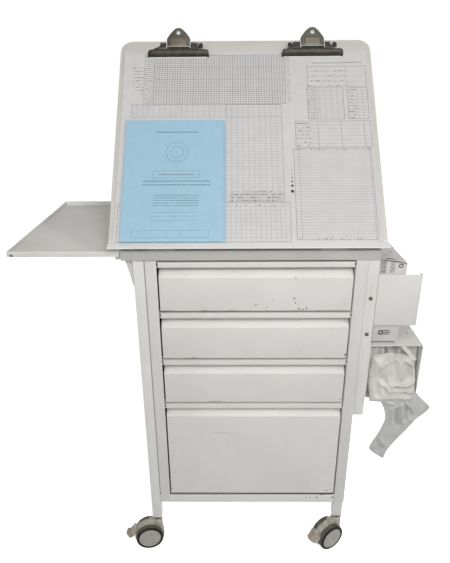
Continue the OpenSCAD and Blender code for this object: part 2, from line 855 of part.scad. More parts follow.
module castor_hood(i, brake) {
    hub = [trail + hub_d*cos(hub_a), wheel_r + hub_d*sin(hub_a)];
    color(castor_grey) at_castor(i) {
        difference() {
            union() {
                translate([0, -hood_w/2, 0]) along_y(hood_w) {
                    hood_outline();
                    if (brake) translate(hub) circle(hub_r);
                }
                translate([0, 0, boss_top - 16]) cylinder(r = boss_r, h = 16);
            }
            translate([0, 0, wheel_r + axle_r + 17]) cylinder(r = stem_r + fit, h = 60);
            translate([trail, 0, wheel_r]) rod_y(axle_r + fit, hood_w + 2);
        }
        if (brake) translate([hub[0], 0, hub[1]]) rod_y(hub_pin_r, hood_w + 10);
    }
}

module tyre_outline() {
    edge = 2;
    polygon([[disc_r, 0], [wheel_r - edge, 0], [wheel_r, edge], [wheel_r, tyre_w - edge],
        [wheel_r - edge, tyre_w], [disc_r, tyre_w]]);
}

module both_wheels(i) {
    at_castor(i) translate([trail, 0, wheel_r]) for (s = [0, 1]) mirror([0, s, 0])
        translate([0, wheel_gap/2, 0]) rotate([-90, 0, 0]) children();
}

module castor_tyres(i) {
    color(tyre_grey) both_wheels(i) rotate_extrude() tyre_outline();
}

module castor_discs(i) {
    r = disc_r - fit;
    bulge = 1;
    color(castor_grey) {
        both_wheels(i) rotate_extrude()
            polygon([[0, 0], [r, 0], [r, tyre_w - 2*bulge], [r - 3, tyre_w - bulge], [r/2, tyre_w], [0, tyre_w]]);
        at_castor(i) translate([trail, 0, wheel_r]) rod_y(axle_r, wheel_gap + 2);
    }
}

module castor_pedal(i) {
    cheek = 3.5;
    side = hood_w/2 + air;
    color(castor_grey) at_castor(i)
        translate([trail + hub_d*cos(hub_a), 0, wheel_r + hub_d*sin(hub_a)]) rotate([0, pedal_tilt, 0]) {
            for (s = [-1, 1]) translate([0, s*(side + cheek/2), 0]) difference() {
                translate([0, -cheek/2, 0]) along_y(cheek) {
                    circle(hub_r);
                    translate([0, -pedal_low]) square([10, hub_r + pedal_low]);
                }
                rod_y(hub_pin_r + fit, cheek + 2);
            }
            translate([0, 0, -pedal_low]) linear_extrude(pedal_t) {
                translate([hub_r + 1.5, -pedal_w/2]) square([pedal_l - pedal_round - hub_r - 1.5, pedal_w]);
                translate([pedal_l - pedal_round, 0]) intersection() {
                    circle(pedal_w/2);
                    translate([0, -pedal_w/2]) square([pedal_round, pedal_w]);
                }
            }
        }
}

module castor_fl_hood() { castor_hood(0, true); }
module castor_fl_tyres() { castor_tyres(0); }
module castor_fl_discs() { castor_discs(0); }
module castor_fl_pedal() { castor_pedal(0); }
module castor_fr_hood() { castor_hood(1, true); }
module castor_fr_tyres() { castor_tyres(1); }
module castor_fr_discs() { castor_discs(1); }
module castor_fr_pedal() { castor_pedal(1); }
module castor_rl_hood() { castor_hood(2, false); }
module castor_rl_tyres() { castor_tyres(2); }
module castor_rl_discs() { castor_discs(2); }
module castor_rr_hood() { castor_hood(3, false); }
module castor_rr_tyres() { castor_tyres(3); }
module castor_rr_discs() { castor_discs(3); }

leg_front_left();
leg_front_right();
leg_rear_left();
leg_rear_right();
cabinet_base();
side_panel_left();
side_panel_right();
back_panel();
divider_rails();
cabinet_runners();
top_slab();
corner_gussets();
tray_hinge_leaves();
tray_hinge_pins();
side_tray();
tray_hinge_knuckles();
board_hinge_leaves();
board_hinge_pins();
stay_track();
chart_board();
board_ledge();
board_hinge_knuckles();
stay_brackets();
prop_stay();
chart_sheets();
record_file();
clip_bases();
clip_springs();
clip_left_lever();
clip_right_lever();
side_channel();
channel_screws();
glove_holder();
glove_box();
bag_dispenser();
bag_film();
drawer_1_front();
drawer_1_box();
drawer_2_front();
drawer_2_box();
drawer_3_front();
drawer_3_box();
drawer_4_front();
drawer_4_box();
castor_stems();
castor_fl_hood();
castor_fl_tyres();
castor_fl_discs();
castor_fl_pedal();
castor_fr_hood();
castor_fr_tyres();
castor_fr_discs();
castor_fr_pedal();
castor_rl_hood();
castor_rl_tyres();
castor_rl_discs();
castor_rr_hood();
castor_rr_tyres();
castor_rr_discs();
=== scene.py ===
import json
import math

import bmesh
import bpy
from mathutils import Matrix, Vector, noise

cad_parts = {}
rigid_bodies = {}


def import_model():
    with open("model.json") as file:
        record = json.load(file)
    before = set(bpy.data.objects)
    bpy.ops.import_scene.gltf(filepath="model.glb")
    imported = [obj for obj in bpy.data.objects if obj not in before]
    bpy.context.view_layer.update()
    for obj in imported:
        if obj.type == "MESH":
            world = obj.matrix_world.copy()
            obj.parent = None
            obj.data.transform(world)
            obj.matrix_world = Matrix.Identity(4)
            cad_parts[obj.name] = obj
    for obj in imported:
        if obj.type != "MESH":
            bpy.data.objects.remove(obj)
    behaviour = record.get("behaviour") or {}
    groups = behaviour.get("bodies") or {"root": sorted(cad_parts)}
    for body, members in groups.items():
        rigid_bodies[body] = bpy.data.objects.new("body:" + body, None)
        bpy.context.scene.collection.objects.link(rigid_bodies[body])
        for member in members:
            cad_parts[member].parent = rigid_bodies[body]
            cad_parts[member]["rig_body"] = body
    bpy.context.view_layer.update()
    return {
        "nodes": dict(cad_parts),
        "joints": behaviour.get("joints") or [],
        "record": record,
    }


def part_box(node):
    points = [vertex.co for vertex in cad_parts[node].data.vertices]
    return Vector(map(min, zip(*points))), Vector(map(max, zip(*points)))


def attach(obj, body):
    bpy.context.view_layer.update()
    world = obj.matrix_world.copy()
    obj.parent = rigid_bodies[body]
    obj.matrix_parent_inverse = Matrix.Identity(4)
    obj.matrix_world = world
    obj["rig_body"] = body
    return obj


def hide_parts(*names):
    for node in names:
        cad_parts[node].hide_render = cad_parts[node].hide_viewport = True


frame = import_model()
nodes = frame["nodes"]
joints = {joint["name"]: joint for joint in frame["joints"]}

# Places. The cabinet's own millimetres start midway between the legs, at the legs' front, on the floor.

slab_low, slab_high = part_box("top_slab")
HOME = Vector(((slab_low.x + slab_high.x) / 2, slab_high.y - 0.452, 0.0))
SLOPE = math.radians(51)
BOARD = Matrix.Translation(Vector(joints["board_tilt"]["pos_m"])) @ Matrix.Rotation(SLOPE, 4, "X")
BOARD_FACE = 7.0
SHEETS_FACE = 8.2
CLIP_X = 164.5
WHEEL_RADIUS = 37.5
TRAIL = 26.0
HOOD_RADIUS = 41.2

# Points nearer than this, in metres, are made one
MERGE = 0.00001


def at(x, y, z):
    return HOME + Vector((x, y, z)) / 1000


def up(values):
    return Vector(values) / 1000


def clip_place(side):
    pin = Vector(joints["clip_" + side + "_open"]["pos_m"])
    return Matrix.Translation(pin) @ Matrix.Rotation(SLOPE, 4, "X")


# Camera and lamps

CAMERA_AT = at(-44.7, -1071.4, 1251.8)
PITCH = math.radians(22.64)
YAW = math.radians(-0.61)
ROLL = math.radians(0.41)
LENS = 519.8 / 563 * 36


def photo_camera():
    data = bpy.data.cameras.new("front_camera")
    data.lens = LENS
    data.sensor_width = 36
    camera = bpy.data.objects.new("front_camera", data)
    bpy.context.scene.collection.objects.link(camera)
    ahead = Vector((math.sin(YAW) * math.cos(PITCH), math.cos(YAW) * math.cos(PITCH), -math.sin(PITCH)))
    right = Vector((math.cos(YAW), -math.sin(YAW), 0))
    down = ahead.cross(right)
    across = math.cos(ROLL) * right + math.sin(ROLL) * down
    below = math.cos(ROLL) * down - math.sin(ROLL) * right
    turn = Matrix((across, -below, -ahead)).transposed().to_4x4()
    camera.matrix_world = Matrix.Translation(CAMERA_AT) @ turn
    bpy.context.scene.camera = camera


def area_light(name, place, aim_height, size, power):
    data = bpy.data.lights.new(name, "AREA")
    data.size = size
    data.energy = power
    lamp = bpy.data.objects.new(name, data)
    bpy.context.scene.collection.objects.link(lamp)
    lamp.location = place
    aim = Vector((0.0, 0.0, aim_height))
    lamp.rotation_euler = (aim - Vector(place)).to_track_quat("-Z", "Y").to_euler()


# Modelling by hand: one piece at a time is held, faces and edges are picked by their place


def hold(obj):
    if bpy.context.object and bpy.context.object.mode != "OBJECT":
        bpy.ops.object.mode_set(mode="OBJECT")
    bpy.ops.object.select_all(action="DESELECT")
    obj.select_set(True)
    bpy.context.view_layer.objects.active = obj


def begin(name, kind, **how):
    bpy.ops.object.select_all(action="DESELECT")
    getattr(bpy.ops.mesh, "primitive_" + kind + "_add")(**how)
    obj = bpy.context.object
    obj.name = name
    obj.data.name = name
    bpy.ops.object.transform_apply(location=True, rotation=True, scale=True)
    return obj


def block(name, low, high):
    low, high = Vector(low) / 1000, Vector(high) / 1000
    return begin(name, "cube", size=1, location=(low + high) / 2, scale=high - low)


def pick(obj, test, kind="FACE"):
    hold(obj)
    bpy.ops.object.mode_set(mode="EDIT")
    bpy.ops.mesh.select_mode(type=kind)
    bpy.ops.mesh.select_all(action="DESELECT")
    mesh = bmesh.from_edit_mesh(obj.data)
    parts = {"FACE": mesh.faces, "EDGE": mesh.edges, "VERT": mesh.verts}[kind]
    for part in parts:
        if kind == "VERT":
            middle, along = part.co, part.normal
        elif kind == "EDGE":
            middle = (part.verts[0].co + part.verts[1].co) / 2
            along = (part.verts[1].co - part.verts[0].co).normalized()
        else:
            middle, along = part.calc_center_median(), part.normal
        if test(middle * 1000, along):
            part.select_set(True)
    bmesh.update_edit_mesh(obj.data)


def lay_down():
    bpy.ops.object.mode_set(mode="OBJECT")


def open_all(obj):
    hold(obj)
    bpy.ops.object.mode_set(mode="EDIT")
    bpy.ops.mesh.select_all(action="SELECT")


def reshape(obj, test, size, shift, kind="FACE"):
    """Scales and moves the part that is picked."""
    pick(obj, test, kind)
    bpy.ops.transform.resize(value=size)
    bpy.ops.transform.translate(value=shift)
    lay_down()


def modify(obj, kind, **settings):
    hold(obj)
    modifier = obj.modifiers.new(kind.title(), kind)
    for key, value in settings.items():
        setattr(modifier, key, value)
    bpy.ops.object.modifier_apply(modifier=modifier.name)
    return obj


def smooth(obj, angle):
    hold(obj)
    bpy.ops.object.shade_smooth_by_angle(angle=math.radians(angle))


def wall(obj, thickness, offset):
    """Gives a sheet its thickness in millimetres: outwards at 1, inwards at -1, both ways at 0."""
    return modify(obj, "SOLIDIFY", thickness=thickness / 1000, offset=offset)


def round_edges(obj, width, segments=2, angle=35):
    modify(obj, "BEVEL", width=width / 1000, segments=segments, limit_method="ANGLE",
           angle_limit=math.radians(angle), use_clamp_overlap=True)
    smooth(obj, angle)
    return obj


def settle(obj, place):
    hold(obj)
    obj.data.transform(place)
    obj.data.update()
    return obj


def outward(obj):
    open_all(obj)
    bpy.ops.mesh.remove_doubles(threshold=MERGE)
    bpy.ops.mesh.normals_make_consistent(inside=False)
    lay_down()
    return obj


def join(name, *pieces):
    hold(pieces[0])
    for piece in pieces:
        piece.select_set(True)
    bpy.ops.object.join()
    pieces[0].name = name
    pieces[0].data.name = name
    return pieces[0]


def dress(obj, material, body, slot, *stands_for):
    if not obj.data.materials:
        obj.data.materials.append(material)
    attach(obj, body)
    if stands_for:
        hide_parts(*stands_for)
    return obj


def rolled(node, width, material, segments=2):
    """A folded-sheet piece from the frame, with its edges rolled over."""
    source = nodes[node]
    hold(source)
    bpy.ops.object.duplicate()
    obj = bpy.context.object
    bpy.ops.object.parent_clear(type="CLEAR_KEEP_TRANSFORM")
    for key in list(obj.keys()):
        del obj[key]
    obj.name = node + "_rolled"
    obj.data.name = obj.name
    obj.data.materials.clear()
    open_all(obj)
    bpy.ops.mesh.remove_doubles(threshold=MERGE)
    bpy.ops.mesh.dissolve_limited(angle_limit=math.radians(0.5))
    lay_down()
    round_edges(obj, width, segments)
    slot = [part["material_slot"] for part in frame["record"]["subparts"] if part["node"] == node][0]
    return dress(obj, material, source["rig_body"], slot, node)


# Finishes


class Recipe:
    """One material, built from its own nodes."""

    def __init__(self, name):
        self.material = bpy.data.materials.new(name)
        self.material.use_nodes = True
        self.tree = self.material.node_tree
        self.shader = self.tree.nodes["Principled BSDF"]
        self.place = self.add("TexCoord").outputs["Object"]

    def add(self, kind, **settings):
        made = self.tree.nodes.new("ShaderNode" + kind)
        for key, value in settings.items():
            setattr(made, key, value)
        return made

    def feed(self, socket, value):
        if isinstance(value, bpy.types.NodeSocket):
            self.tree.links.new(value, socket)
        else:
            socket.default_value = value

    def sum(self, operation, *values, clamp=False):
        made = self.add("Math", operation=operation, use_clamp=clamp)
        for socket, value in zip(made.inputs, values):
            self.feed(socket, value)
        return made.outputs[0]

    def vector(self, operation, *values):
        made = self.add("VectorMath", operation=operation)
        for socket, value in zip(made.inputs, values):
            self.feed(socket, value)
        return made.outputs["Value" if operation == "LENGTH" else "Vector"]

    def apart(self, vector):
        made = self.add("SeparateXYZ")
        self.feed(made.inputs[0], vector)
        return made.outputs

    def noise(self, scale, detail=3.0, place=None, rough=0.5):
        made = self.add("TexNoise")
        self.feed(made.inputs["Vector"], place or self.place)
        made.inputs["Scale"].default_value = scale
        made.inputs["Detail"].default_value = detail
        made.inputs["Roughness"].default_value = rough
        return made.outputs["Fac"]

    def stretched(self, scale):
        return self.vector("MULTIPLY", self.place, scale)

    def span(self, value, low, high, to_low=0.0, to_high=1.0):
        made = self.add("MapRange")
        for socket, number in zip(made.inputs, (value, low, high, to_low, to_high)):
            self.feed(socket, number)
        return made.outputs[0]

    def mix(self, factor, first, second):
        made = self.add("Mix", data_type="RGBA")
        for index, value in ((0, factor), (6, first), (7, second)):
            self.feed(made.inputs[index], colour(value) if isinstance(value, tuple) else value)
        return made.outputs[2]

    def over(self, base, mask, strength, tone):
        """A tone laid over the base where the mask is."""
        return self.mix(self.sum("MULTIPLY", mask, strength), base, tone)

    def bump(self, height, strength, distance):
        made = self.add("Bump")
        made.inputs["Strength"].default_value = strength
        made.inputs["Distance"].default_value = distance
        self.feed(made.inputs["Height"], height)
        self.feed(self.shader.inputs["Normal"], made.outputs["Normal"])

    def set(self, **values):
        for key, value in values.items():
            self.feed(self.shader.inputs[key.replace("_", " ")], value)


def colour(values):
    """A colour as it is seen, out of 255, made linear."""
    levels = [v / 255 for v in values]
    return tuple(v / 12.92 if v <= 0.0404 else ((v + 0.055) / 1.055) ** 2.4 for v in levels) + (1.0,)


def marks(recipe, spots, ragged=0.5):
    """Small worn spots: x, y, z of each, half its width and half its height, in the cabinet's millimetres."""
    wobble = recipe.add("TexNoise")
    recipe.feed(wobble.inputs["Vector"], recipe.place)
    wobble.inputs["Scale"].default_value = 420
    wobble.inputs["Detail"].default_value = 3
    moved = recipe.vector("SUBTRACT", wobble.outputs["Color"], (0.5, 0.5, 0.5))
    total = 0.0
    for x, y, z, wide, high in spots:
        away = recipe.vector("SUBTRACT", recipe.place, tuple(at(x, y, z)))
        scaled = recipe.vector("MULTIPLY", away, (1000 / wide, 1000 / 30, 1000 / high))
        shaken = recipe.vector("ADD", scaled, recipe.vector("MULTIPLY", moved, (ragged * 5,) * 3))
        inside = recipe.sum("LESS_THAN", recipe.vector("LENGTH", shaken), 1.0)
        total = recipe.sum("MAXIMUM", total, inside)
    return total


def seams(recipe, lines):
    """Painted shade in upright joints between parts: x, lowest and highest z and half the width in millimetres,
    and its strength.
    """
    across, depth, height = recipe.apart(recipe.place)
    before = recipe.sum("LESS_THAN", depth, at(0, 2.5, 0).y)
    total = 0.0
    for x, low, high, wide, strength in lines:
        off = recipe.sum("ABSOLUTE", recipe.sum("SUBTRACT", across, at(x, 0, 0).x))
        near = recipe.span(off, wide / 1000, 0.3 * wide / 1000, 0.0, strength)
        above = recipe.sum("GREATER_THAN", height, low / 1000)
        below = recipe.sum("LESS_THAN", height, high / 1000)
        total = recipe.sum("MAXIMUM", total, recipe.sum("MULTIPLY", near, recipe.sum("MULTIPLY", above, below)))
    return recipe.sum("MULTIPLY", total, before)


GRIME = (150, 142, 128)
RUBBED = (206, 186, 176)
JOINT_SHADE = (118, 112, 102)
SCUFFED = (112, 104, 92)
BARE = (58, 54, 50)


def enamel(name, tone, chips=(), scuffs=(), feet=False, shaded_joints=()):
    """Baked enamel: faint orange peel, slight mottling, hand grime, painted shade in the joints, bare chips
    where it was knocked.
    """
    recipe = Recipe(name)
    mottle = recipe.span(recipe.noise(7, 4), 0.35, 0.65)
    grime = recipe.span(recipe.noise(31, 8, rough=0.65), 0.60, 0.78)
    base = recipe.mix(mottle, tuple(v - 4 for v in tone), tuple(v + 2 for v in tone))
    base = recipe.over(base, grime, 0.16, GRIME)
    if feet:
        low = recipe.span(recipe.apart(recipe.place)[2], 0.145, 0.100)
        rub = recipe.span(recipe.noise(120, 5, rough=0.7), 0.45, 0.62)
        base = recipe.over(base, recipe.sum("MULTIPLY", low, rub), 0.35, RUBBED)
    # Painted shade along the joints between parts
    if shaded_joints:
        base = recipe.mix(seams(recipe, shaded_joints), base, JOINT_SHADE)
    if scuffs:
        base = recipe.over(base, marks(recipe, scuffs, 0.9), 0.6, SCUFFED)
    if chips:
        base = recipe.over(base, marks(recipe, chips), 0.9, BARE)
    peel = recipe.noise(760, 2)
    recipe.bump(peel, 0.05, 0.0004)
    recipe.set(Base_Color=base, Roughness=recipe.span(recipe.noise(18, 5), 0.3, 0.7, 0.34, 0.46),
               Specular_IOR_Level=0.45)
    return recipe.material


def zinc_plate():
    recipe = Recipe("zinc plate")
    base = recipe.mix(recipe.noise(60, 5), (150, 150, 146), (182, 181, 176))
    recipe.bump(recipe.noise(900, 2, recipe.stretched((1, 8, 8))), 0.1, 0.0002)
    recipe.set(Base_Color=base, Roughness=recipe.span(recipe.noise(90, 4), 0.3, 0.7, 0.28, 0.45), Metallic=0.85)
    return recipe.material


def dark_plating(name, low, high):
    recipe = Recipe(name)
    patina = recipe.span(recipe.noise(70, 5, rough=0.55), 0.3, 0.7)
    base = recipe.mix(patina, low, high)
    recipe.bump(recipe.noise(1500, 3), 0.08, 0.0002)
    recipe.set(Base_Color=base, Roughness=recipe.span(patina, 0, 1, 0.34, 0.48), Metallic=0.9)
    return recipe.material


def moulded(name, tone, rough=0.5, spread=8, gloss=0.5):
    recipe = Recipe(name)
    base = recipe.mix(recipe.span(recipe.noise(80, 6, rough=0.6), 0.35, 0.65),
                      tuple(v - spread for v in tone), tuple(v + spread for v in tone))
    recipe.bump(recipe.noise(900, 3), 0.15, 0.0003)
    roughness = recipe.span(recipe.noise(50, 4), 0.3, 0.7, rough - 0.06, rough + 0.08)
    recipe.set(Base_Color=base, Roughness=roughness, Specular_IOR_Level=gloss)
    return recipe.material


def ruling():
    """A ruled box: lines every Step X and Step Y millimetres from its left and lower edges."""
    group = bpy.data.node_groups.new("Ruled box", "ShaderNodeTree")
    names = ("X", "Y", "Left", "Right", "Low", "High", "Step X", "Step Y", "Line")
    for name in names:
        group.interface.new_socket(name=name, in_out="INPUT", socket_type="NodeSocketFloat")
    group.interface.new_socket(name="Ink", in_out="OUTPUT", socket_type="NodeSocketFloat")
    source = group.nodes.new("NodeGroupInput").outputs

    def do(operation, *values):
        made = group.nodes.new("ShaderNodeMath")
        made.operation = operation
        for socket, value in zip(made.inputs, values):
            if isinstance(value, bpy.types.NodeSocket):
                group.links.new(value, socket)
            else:
                socket.default_value = value
        return made.outputs[0]

    ink = 0.0
    inside = 1.0
    for axis, first, last, step in (("X", "Left", "Right", "Step X"), ("Y", "Low", "High", "Step Y")):
        along = do("SUBTRACT", source[axis], source[first])
        near = do("LESS_THAN", do("MODULO", along, source[step]), source["Line"])
        beyond = do("SUBTRACT", do("ADD", source[last], source["Line"]), source[axis])
        within = do("MULTIPLY", do("GREATER_THAN", along, 0.0), do("GREATER_THAN", beyond, 0.0))
        ink = do("MAXIMUM", ink, near)
        inside = do("MULTIPLY", inside, within)
    group.links.new(do("MULTIPLY", ink, inside), group.nodes.new("NodeGroupOutput").inputs[0])
    return group


RULED = ruling()
FAR = 9999.0


class Print:
    """Printing on a piece whose UV map is its flat size in metres."""

    def __init__(self, recipe):
        self.recipe = recipe
        self.flat = recipe.add("UVMap").outputs[0]
        self.x, self.y = recipe.apart(recipe.vector("MULTIPLY", self.flat, (1000, 1000, 1000)))[:2]

    def box(self, left, right, low, high, step_x=FAR, step_y=FAR, line=0.5):
        made = self.recipe.add("Group")
        made.node_tree = RULED
        for socket, value in zip(made.inputs, (self.x, self.y, left, right, low, high, step_x, step_y, line)):
            self.recipe.feed(socket, value)
        return made.outputs[0]

    def frame(self, left, right, low, high, line=0.5):
        return self.box(left, right, low, high, right - left, high - low, line)

    def bar(self, left, right, low, high):
        return self.box(left, right - (high - low), low, low, FAR, FAR, high - low)

    def dashes(self, left, right, low, high, row, height, gap=0.5, grain=260):
        """Rows of short dashes."""
        recipe = self.recipe
        made = recipe.add("Group")
        made.node_tree = RULED
        values = (self.x, self.y, left - FAR, right, low, high, 3 * FAR, row, height)
        for socket, value in zip(made.inputs, values):
            recipe.feed(socket, value)
        inside = recipe.sum("GREATER_THAN", self.x, left)
        specks = recipe.noise(1, 1, recipe.vector("MULTIPLY", self.flat, (grain, 1000 / row, 1)))
        shown = recipe.sum("GREATER_THAN", specks, gap)
        return recipe.sum("MULTIPLY", recipe.sum("MULTIPLY", made.outputs[0], inside), shown)

    def ring(self, x, y, radius, line):
        recipe = self.recipe
        across = recipe.sum("SUBTRACT", self.x, x)
        along = recipe.sum("SUBTRACT", self.y, y)
        away = recipe.sum("SQRT", recipe.sum("ADD", recipe.sum("MULTIPLY", across, across),
                                             recipe.sum("MULTIPLY", along, along)))
        off = recipe.sum("ABSOLUTE", recipe.sum("SUBTRACT", away, radius))
        return recipe.sum("LESS_THAN", off, line / 2)

    def layer(self, **shapes):
        """Shapes of the named kinds, each row the values of one."""
        total = 0.0
        for kind, rows in shapes.items():
            for values in rows:
                total = self.recipe.sum("MAXIMUM", total, getattr(self, kind)(*values))
        return total


def chart_paper():
    recipe = Recipe("chart paper")
    sheet = Print(recipe)
    dense = sheet.box(-223, 95, 355, 494, 6.36, 5.79, 0.9)
    fine = sheet.layer(box=(
        (-273, -48, 319, 355, 13.2, 7.2, 0.5), (-48, 84, 99, 352, 13.2, 7.44, 0.5),
        (-292, 96, 3, 97, 11.1, 9.4, 0.55), (147, 233, 312, 398, 14.3, 7.17, 0.5),
        (243, 291, 312, 398, 12, 8.6, 0.5), (115, 292, 237, 306, FAR, 9.85, 0.5),
        (109, 288, 7, 234, FAR, 6.88, 0.5), (149, 291, 402, 459, FAR, 14.25, 0.5),
    ))
    strong = sheet.layer(
        box=((-223, 95, 355, 494, 31.8, 34.7, 0.75), (149, 291, 402, 459, 94, FAR, 0.8),
             (115, 292, 237, 306, 54, FAR, 0.8), (121, 284, 7, 234, 163, FAR, 0.6)),
        frame=((-273, 84, 319, 353, 0.7), (-48, 84, 99, 352, 0.7), (-292, 96, 3, 97, 0.8),
               (-247, -223, 355, 494, 0.6), (149, 291, 402, 459, 0.8), (147, 233, 312, 398, 0.8),
               (243, 291, 312, 398, 0.8), (115, 292, 237, 306, 0.8), (109, 288, 7, 234, 0.8)),
        bar=((163, 285, 469, 470.6),),
    )
    dashes = sheet.layer(dashes=(
        (-275, -250, 384, 456, 9.0, 2.2, 0.52), (-246, -225, 357, 492, 5.79, 1.8, 0.5, 500),
        (99, 106, 357, 492, 5.79, 1.8, 0.5, 500), (150, 240, 404, 457, 14.25, 1.8, 0.55),
        (148, 170, 314, 397, 7.17, 1.8, 0.5), (244, 262, 314, 397, 8.6, 1.8, 0.5),
        (117, 150, 240, 304, 9.85, 2.0, 0.5), (112, 285, 230.5, 234, 6.88, 2.0, 0.56),
        (112, 285, 8.5, 13, 6.88, 2.0, 0.6), (-40, 80, 101, 122, 7.44, 3.4, 0.5, 400),
        (-288, 92, 90, 96, 9.4, 2.0, 0.6),
    ))
    dots = sheet.layer(ring=[(103, y, 0.0, 2 * radius) for y, radius in (
        (185, 0.6), (177, 0.9), (168, 1.3), (159, 1.7), (150, 2.2), (139, 3.0), (125, 3.8))])
    fibre = recipe.span(recipe.noise(38, 6), 0.3, 0.7)
    base = recipe.mix(fibre, (199, 198, 196), (206, 205, 204))
    for mask, strength, tone in ((dense, 0.75, (104, 101, 100)), (fine, 0.62, (84, 80, 90)),
                                 (strong, 0.72, (66, 64, 70)), (dashes, 0.75, (52, 50, 54))):
        base = recipe.over(base, mask, strength, tone)
    base = recipe.mix(dots, base, (38, 38, 42))
    recipe.bump(recipe.noise(600, 4), 0.05, 0.0003)
    recipe.set(Base_Color=base, Roughness=0.72)
    return recipe.material


def file_cover():
    recipe = Recipe("file cover card")
    card = Print(recipe)
    lines = card.layer(
        bar=((-211, -113, 274, 276.2), (-203, -121, 164, 165.8), (-216, -110, 71, 71.6),
             (-216, -110, 62.2, 62.8), (-216, -110, 52.4, 53.0)),
        frame=((-214, -109, 156, 174, 0.7), (-257, -180, 11, 28, 0.6), (-180, -148, 11, 28, 0.6),
               (-148, -87, 11, 28, 0.6)),
        dashes=((-238, -86, 138, 149, 9.3, 2.0, 0.36, 240), (-212, -110, 87, 116, 6.4, 1.5, 0.38, 300)),
        ring=((-161, 222.5, 25.5, 0.9), (-161, 222.5, 15.5, 0.9)),
    )
    fibre = recipe.span(recipe.noise(46, 7, rough=0.6), 0.3, 0.7)
    base = recipe.mix(fibre, (150, 186, 205), (158, 193, 211))
    base = recipe.over(base, lines, 0.75, (62, 84, 102))
    recipe.bump(recipe.noise(800, 4), 0.08, 0.0003)
    recipe.set(Base_Color=base, Roughness=0.6)
    return recipe.material


def plain_paper():
    recipe = Recipe("paper edges")
    leaves = recipe.noise(40, 3, recipe.stretched((1, 30, 60)))
    recipe.set(Base_Color=recipe.mix(leaves, (186, 185, 181), (212, 211, 207)), Roughness=0.8)
    return recipe.material


def bag_film_finish(name, low, high):
    recipe = Recipe(name)
    layers = recipe.span(recipe.noise(16, 5, rough=0.6), 0.3, 0.7)
    creases = recipe.noise(42, 6, recipe.stretched((1.6, 1.6, 0.7)), 0.6)
    recipe.bump(creases, 0.6, 0.006)
    recipe.set(Base_Color=recipe.mix(layers, low, high), Roughness=0.3,
               Transmission_Weight=0.1, IOR=1.3)
    return recipe.material


DRAWER_CHIPS = (
    (102, 0, 813, 2.0, 1.4), (14, 0, 747, 1.7, 2.0), (38, 0, 741, 1.6, 1.6), (100, 0, 763, 2.1, 1.8),
    (103, 0, 752, 1.7, 2.1), (112, 0, 737, 3.3, 1.8), (121, 0, 735, 2.4, 1.8), (129, 0, 738, 2.3, 2.1),
    (227, 0, 616, 3.0, 2.4), (225, 0, 490, 1.6, 1.8), (52, 0, 759, 1.0, 0.9), (211, 0, 198, 2.8, 1.8),
)
DRAWER_SCUFFS = (
    (-191, 0, 733, 17, 1.8), (-102, 0, 733, 8, 1.6), (-41, 0, 733, 9, 1.6), (-135, 0, 608, 11, 1.8),
    (-81, 0, 484, 16, 1.6), (-60, 0, 388, 26, 0.9), (20, 0, 322, 1.4, 1.2), (-200, 0, 205, 4, 2.4),
)
BASE_CHIPS = (
    (159, 0, 174, 1.9, 1.5), (169, 0, 174, 1.9, 1.2), (187, 0, 174, 2.6, 2.1), (230, 0, 174, 5, 1.9),
    (201, 0, 183, 6, 1.0), (-313, -19, 889, 2.2, 2.0), (302, -19, 889, 2.6, 2.0),
)
# Painted shade in the joints beside the left flange, the channel and the glove holder's plate
JOINT_SHADE_LINES = ((-234.4, 183, 855, 1.8, 0.85), (260.2, 470, 852, 1.2, 0.36), (285.2, 640, 822, 1.3, 0.26))

white = enamel("white enamel", (221, 220, 216), chips=BASE_CHIPS, feet=True, shaded_joints=JOINT_SHADE_LINES)
# The top slab's enamel is a darker copy of the white: painted shade for the ledge's shadow on the slab.
slab_shaded_white = enamel("top enamel, painted shade", (186, 185, 181))
# The ledge's enamel is a lighter copy of the white: painted light for the light it catches off the board above.
ledge_lit_white = enamel("ledge enamel, painted light", (236, 235, 231), chips=BASE_CHIPS[-2:])
panel_white = enamel("side panel enamel", (212, 211, 208), shaded_joints=JOINT_SHADE_LINES)
drawer_white = enamel("drawer enamel", (219, 218, 214), chips=DRAWER_CHIPS, scuffs=DRAWER_SCUFFS)
board_white = enamel("board enamel", (202, 199, 192))
tray_white = enamel("tray enamel", (219, 218, 213), chips=((-525, 0, 868, 3.2, 3.4),))
zinc = zinc_plate()
clip_dark = dark_plating("dark clip plating", (68, 66, 59), (88, 85, 76))
clip_panel = dark_plating("worn clip plating", (88, 82, 73), (104, 97, 87))
clip_jaw = dark_plating("clip jaw plating", (46, 45, 40), (66, 64, 57))
# A pale colour on the dark clips: painted highlights
clip_painted_highlight = moulded("painted clip highlights", (180, 178, 170), 0.35, 5)
castor_plastic = moulded("castor plastic", (182, 177, 167), 0.48, 12)
# Dark sheets of painted shadow in the glove carton's gaps
gap_shadow_paint = moulded("painted gap shadow", (62, 60, 58), 0.8, 4)
disc_plastic = moulded("castor disc plastic", (162, 159, 152), 0.46, 7)
tyre_rubber = moulded("tyre rubber", (36, 34, 31), 0.6, 5, 0.15)
tyre_tread = moulded("dusty tyre tread", (90, 84, 77), 0.75, 12)
# Black plastic of the castor collars; also the painted shade in the screw slots and the dispenser's hole
black_plastic_and_slot_shade = moulded("black collar plastic and painted slot shade", (34, 33, 32), 0.5, 4)
paper_print = chart_paper()
paper_plain = plain_paper()
file_print = file_cover()
film = bag_film_finish("bag film", (212, 210, 204), (234, 233, 229))
film_low = bag_film_finish("hanging bag film", (184, 184, 182), (214, 214, 212))
pedal_plastic = moulded("pedal plastic", (162, 152, 136), 0.5, 24)
screw_grey = moulded("dull screw plating", (108, 106, 102), 0.4, 10)


# Folded-sheet pieces


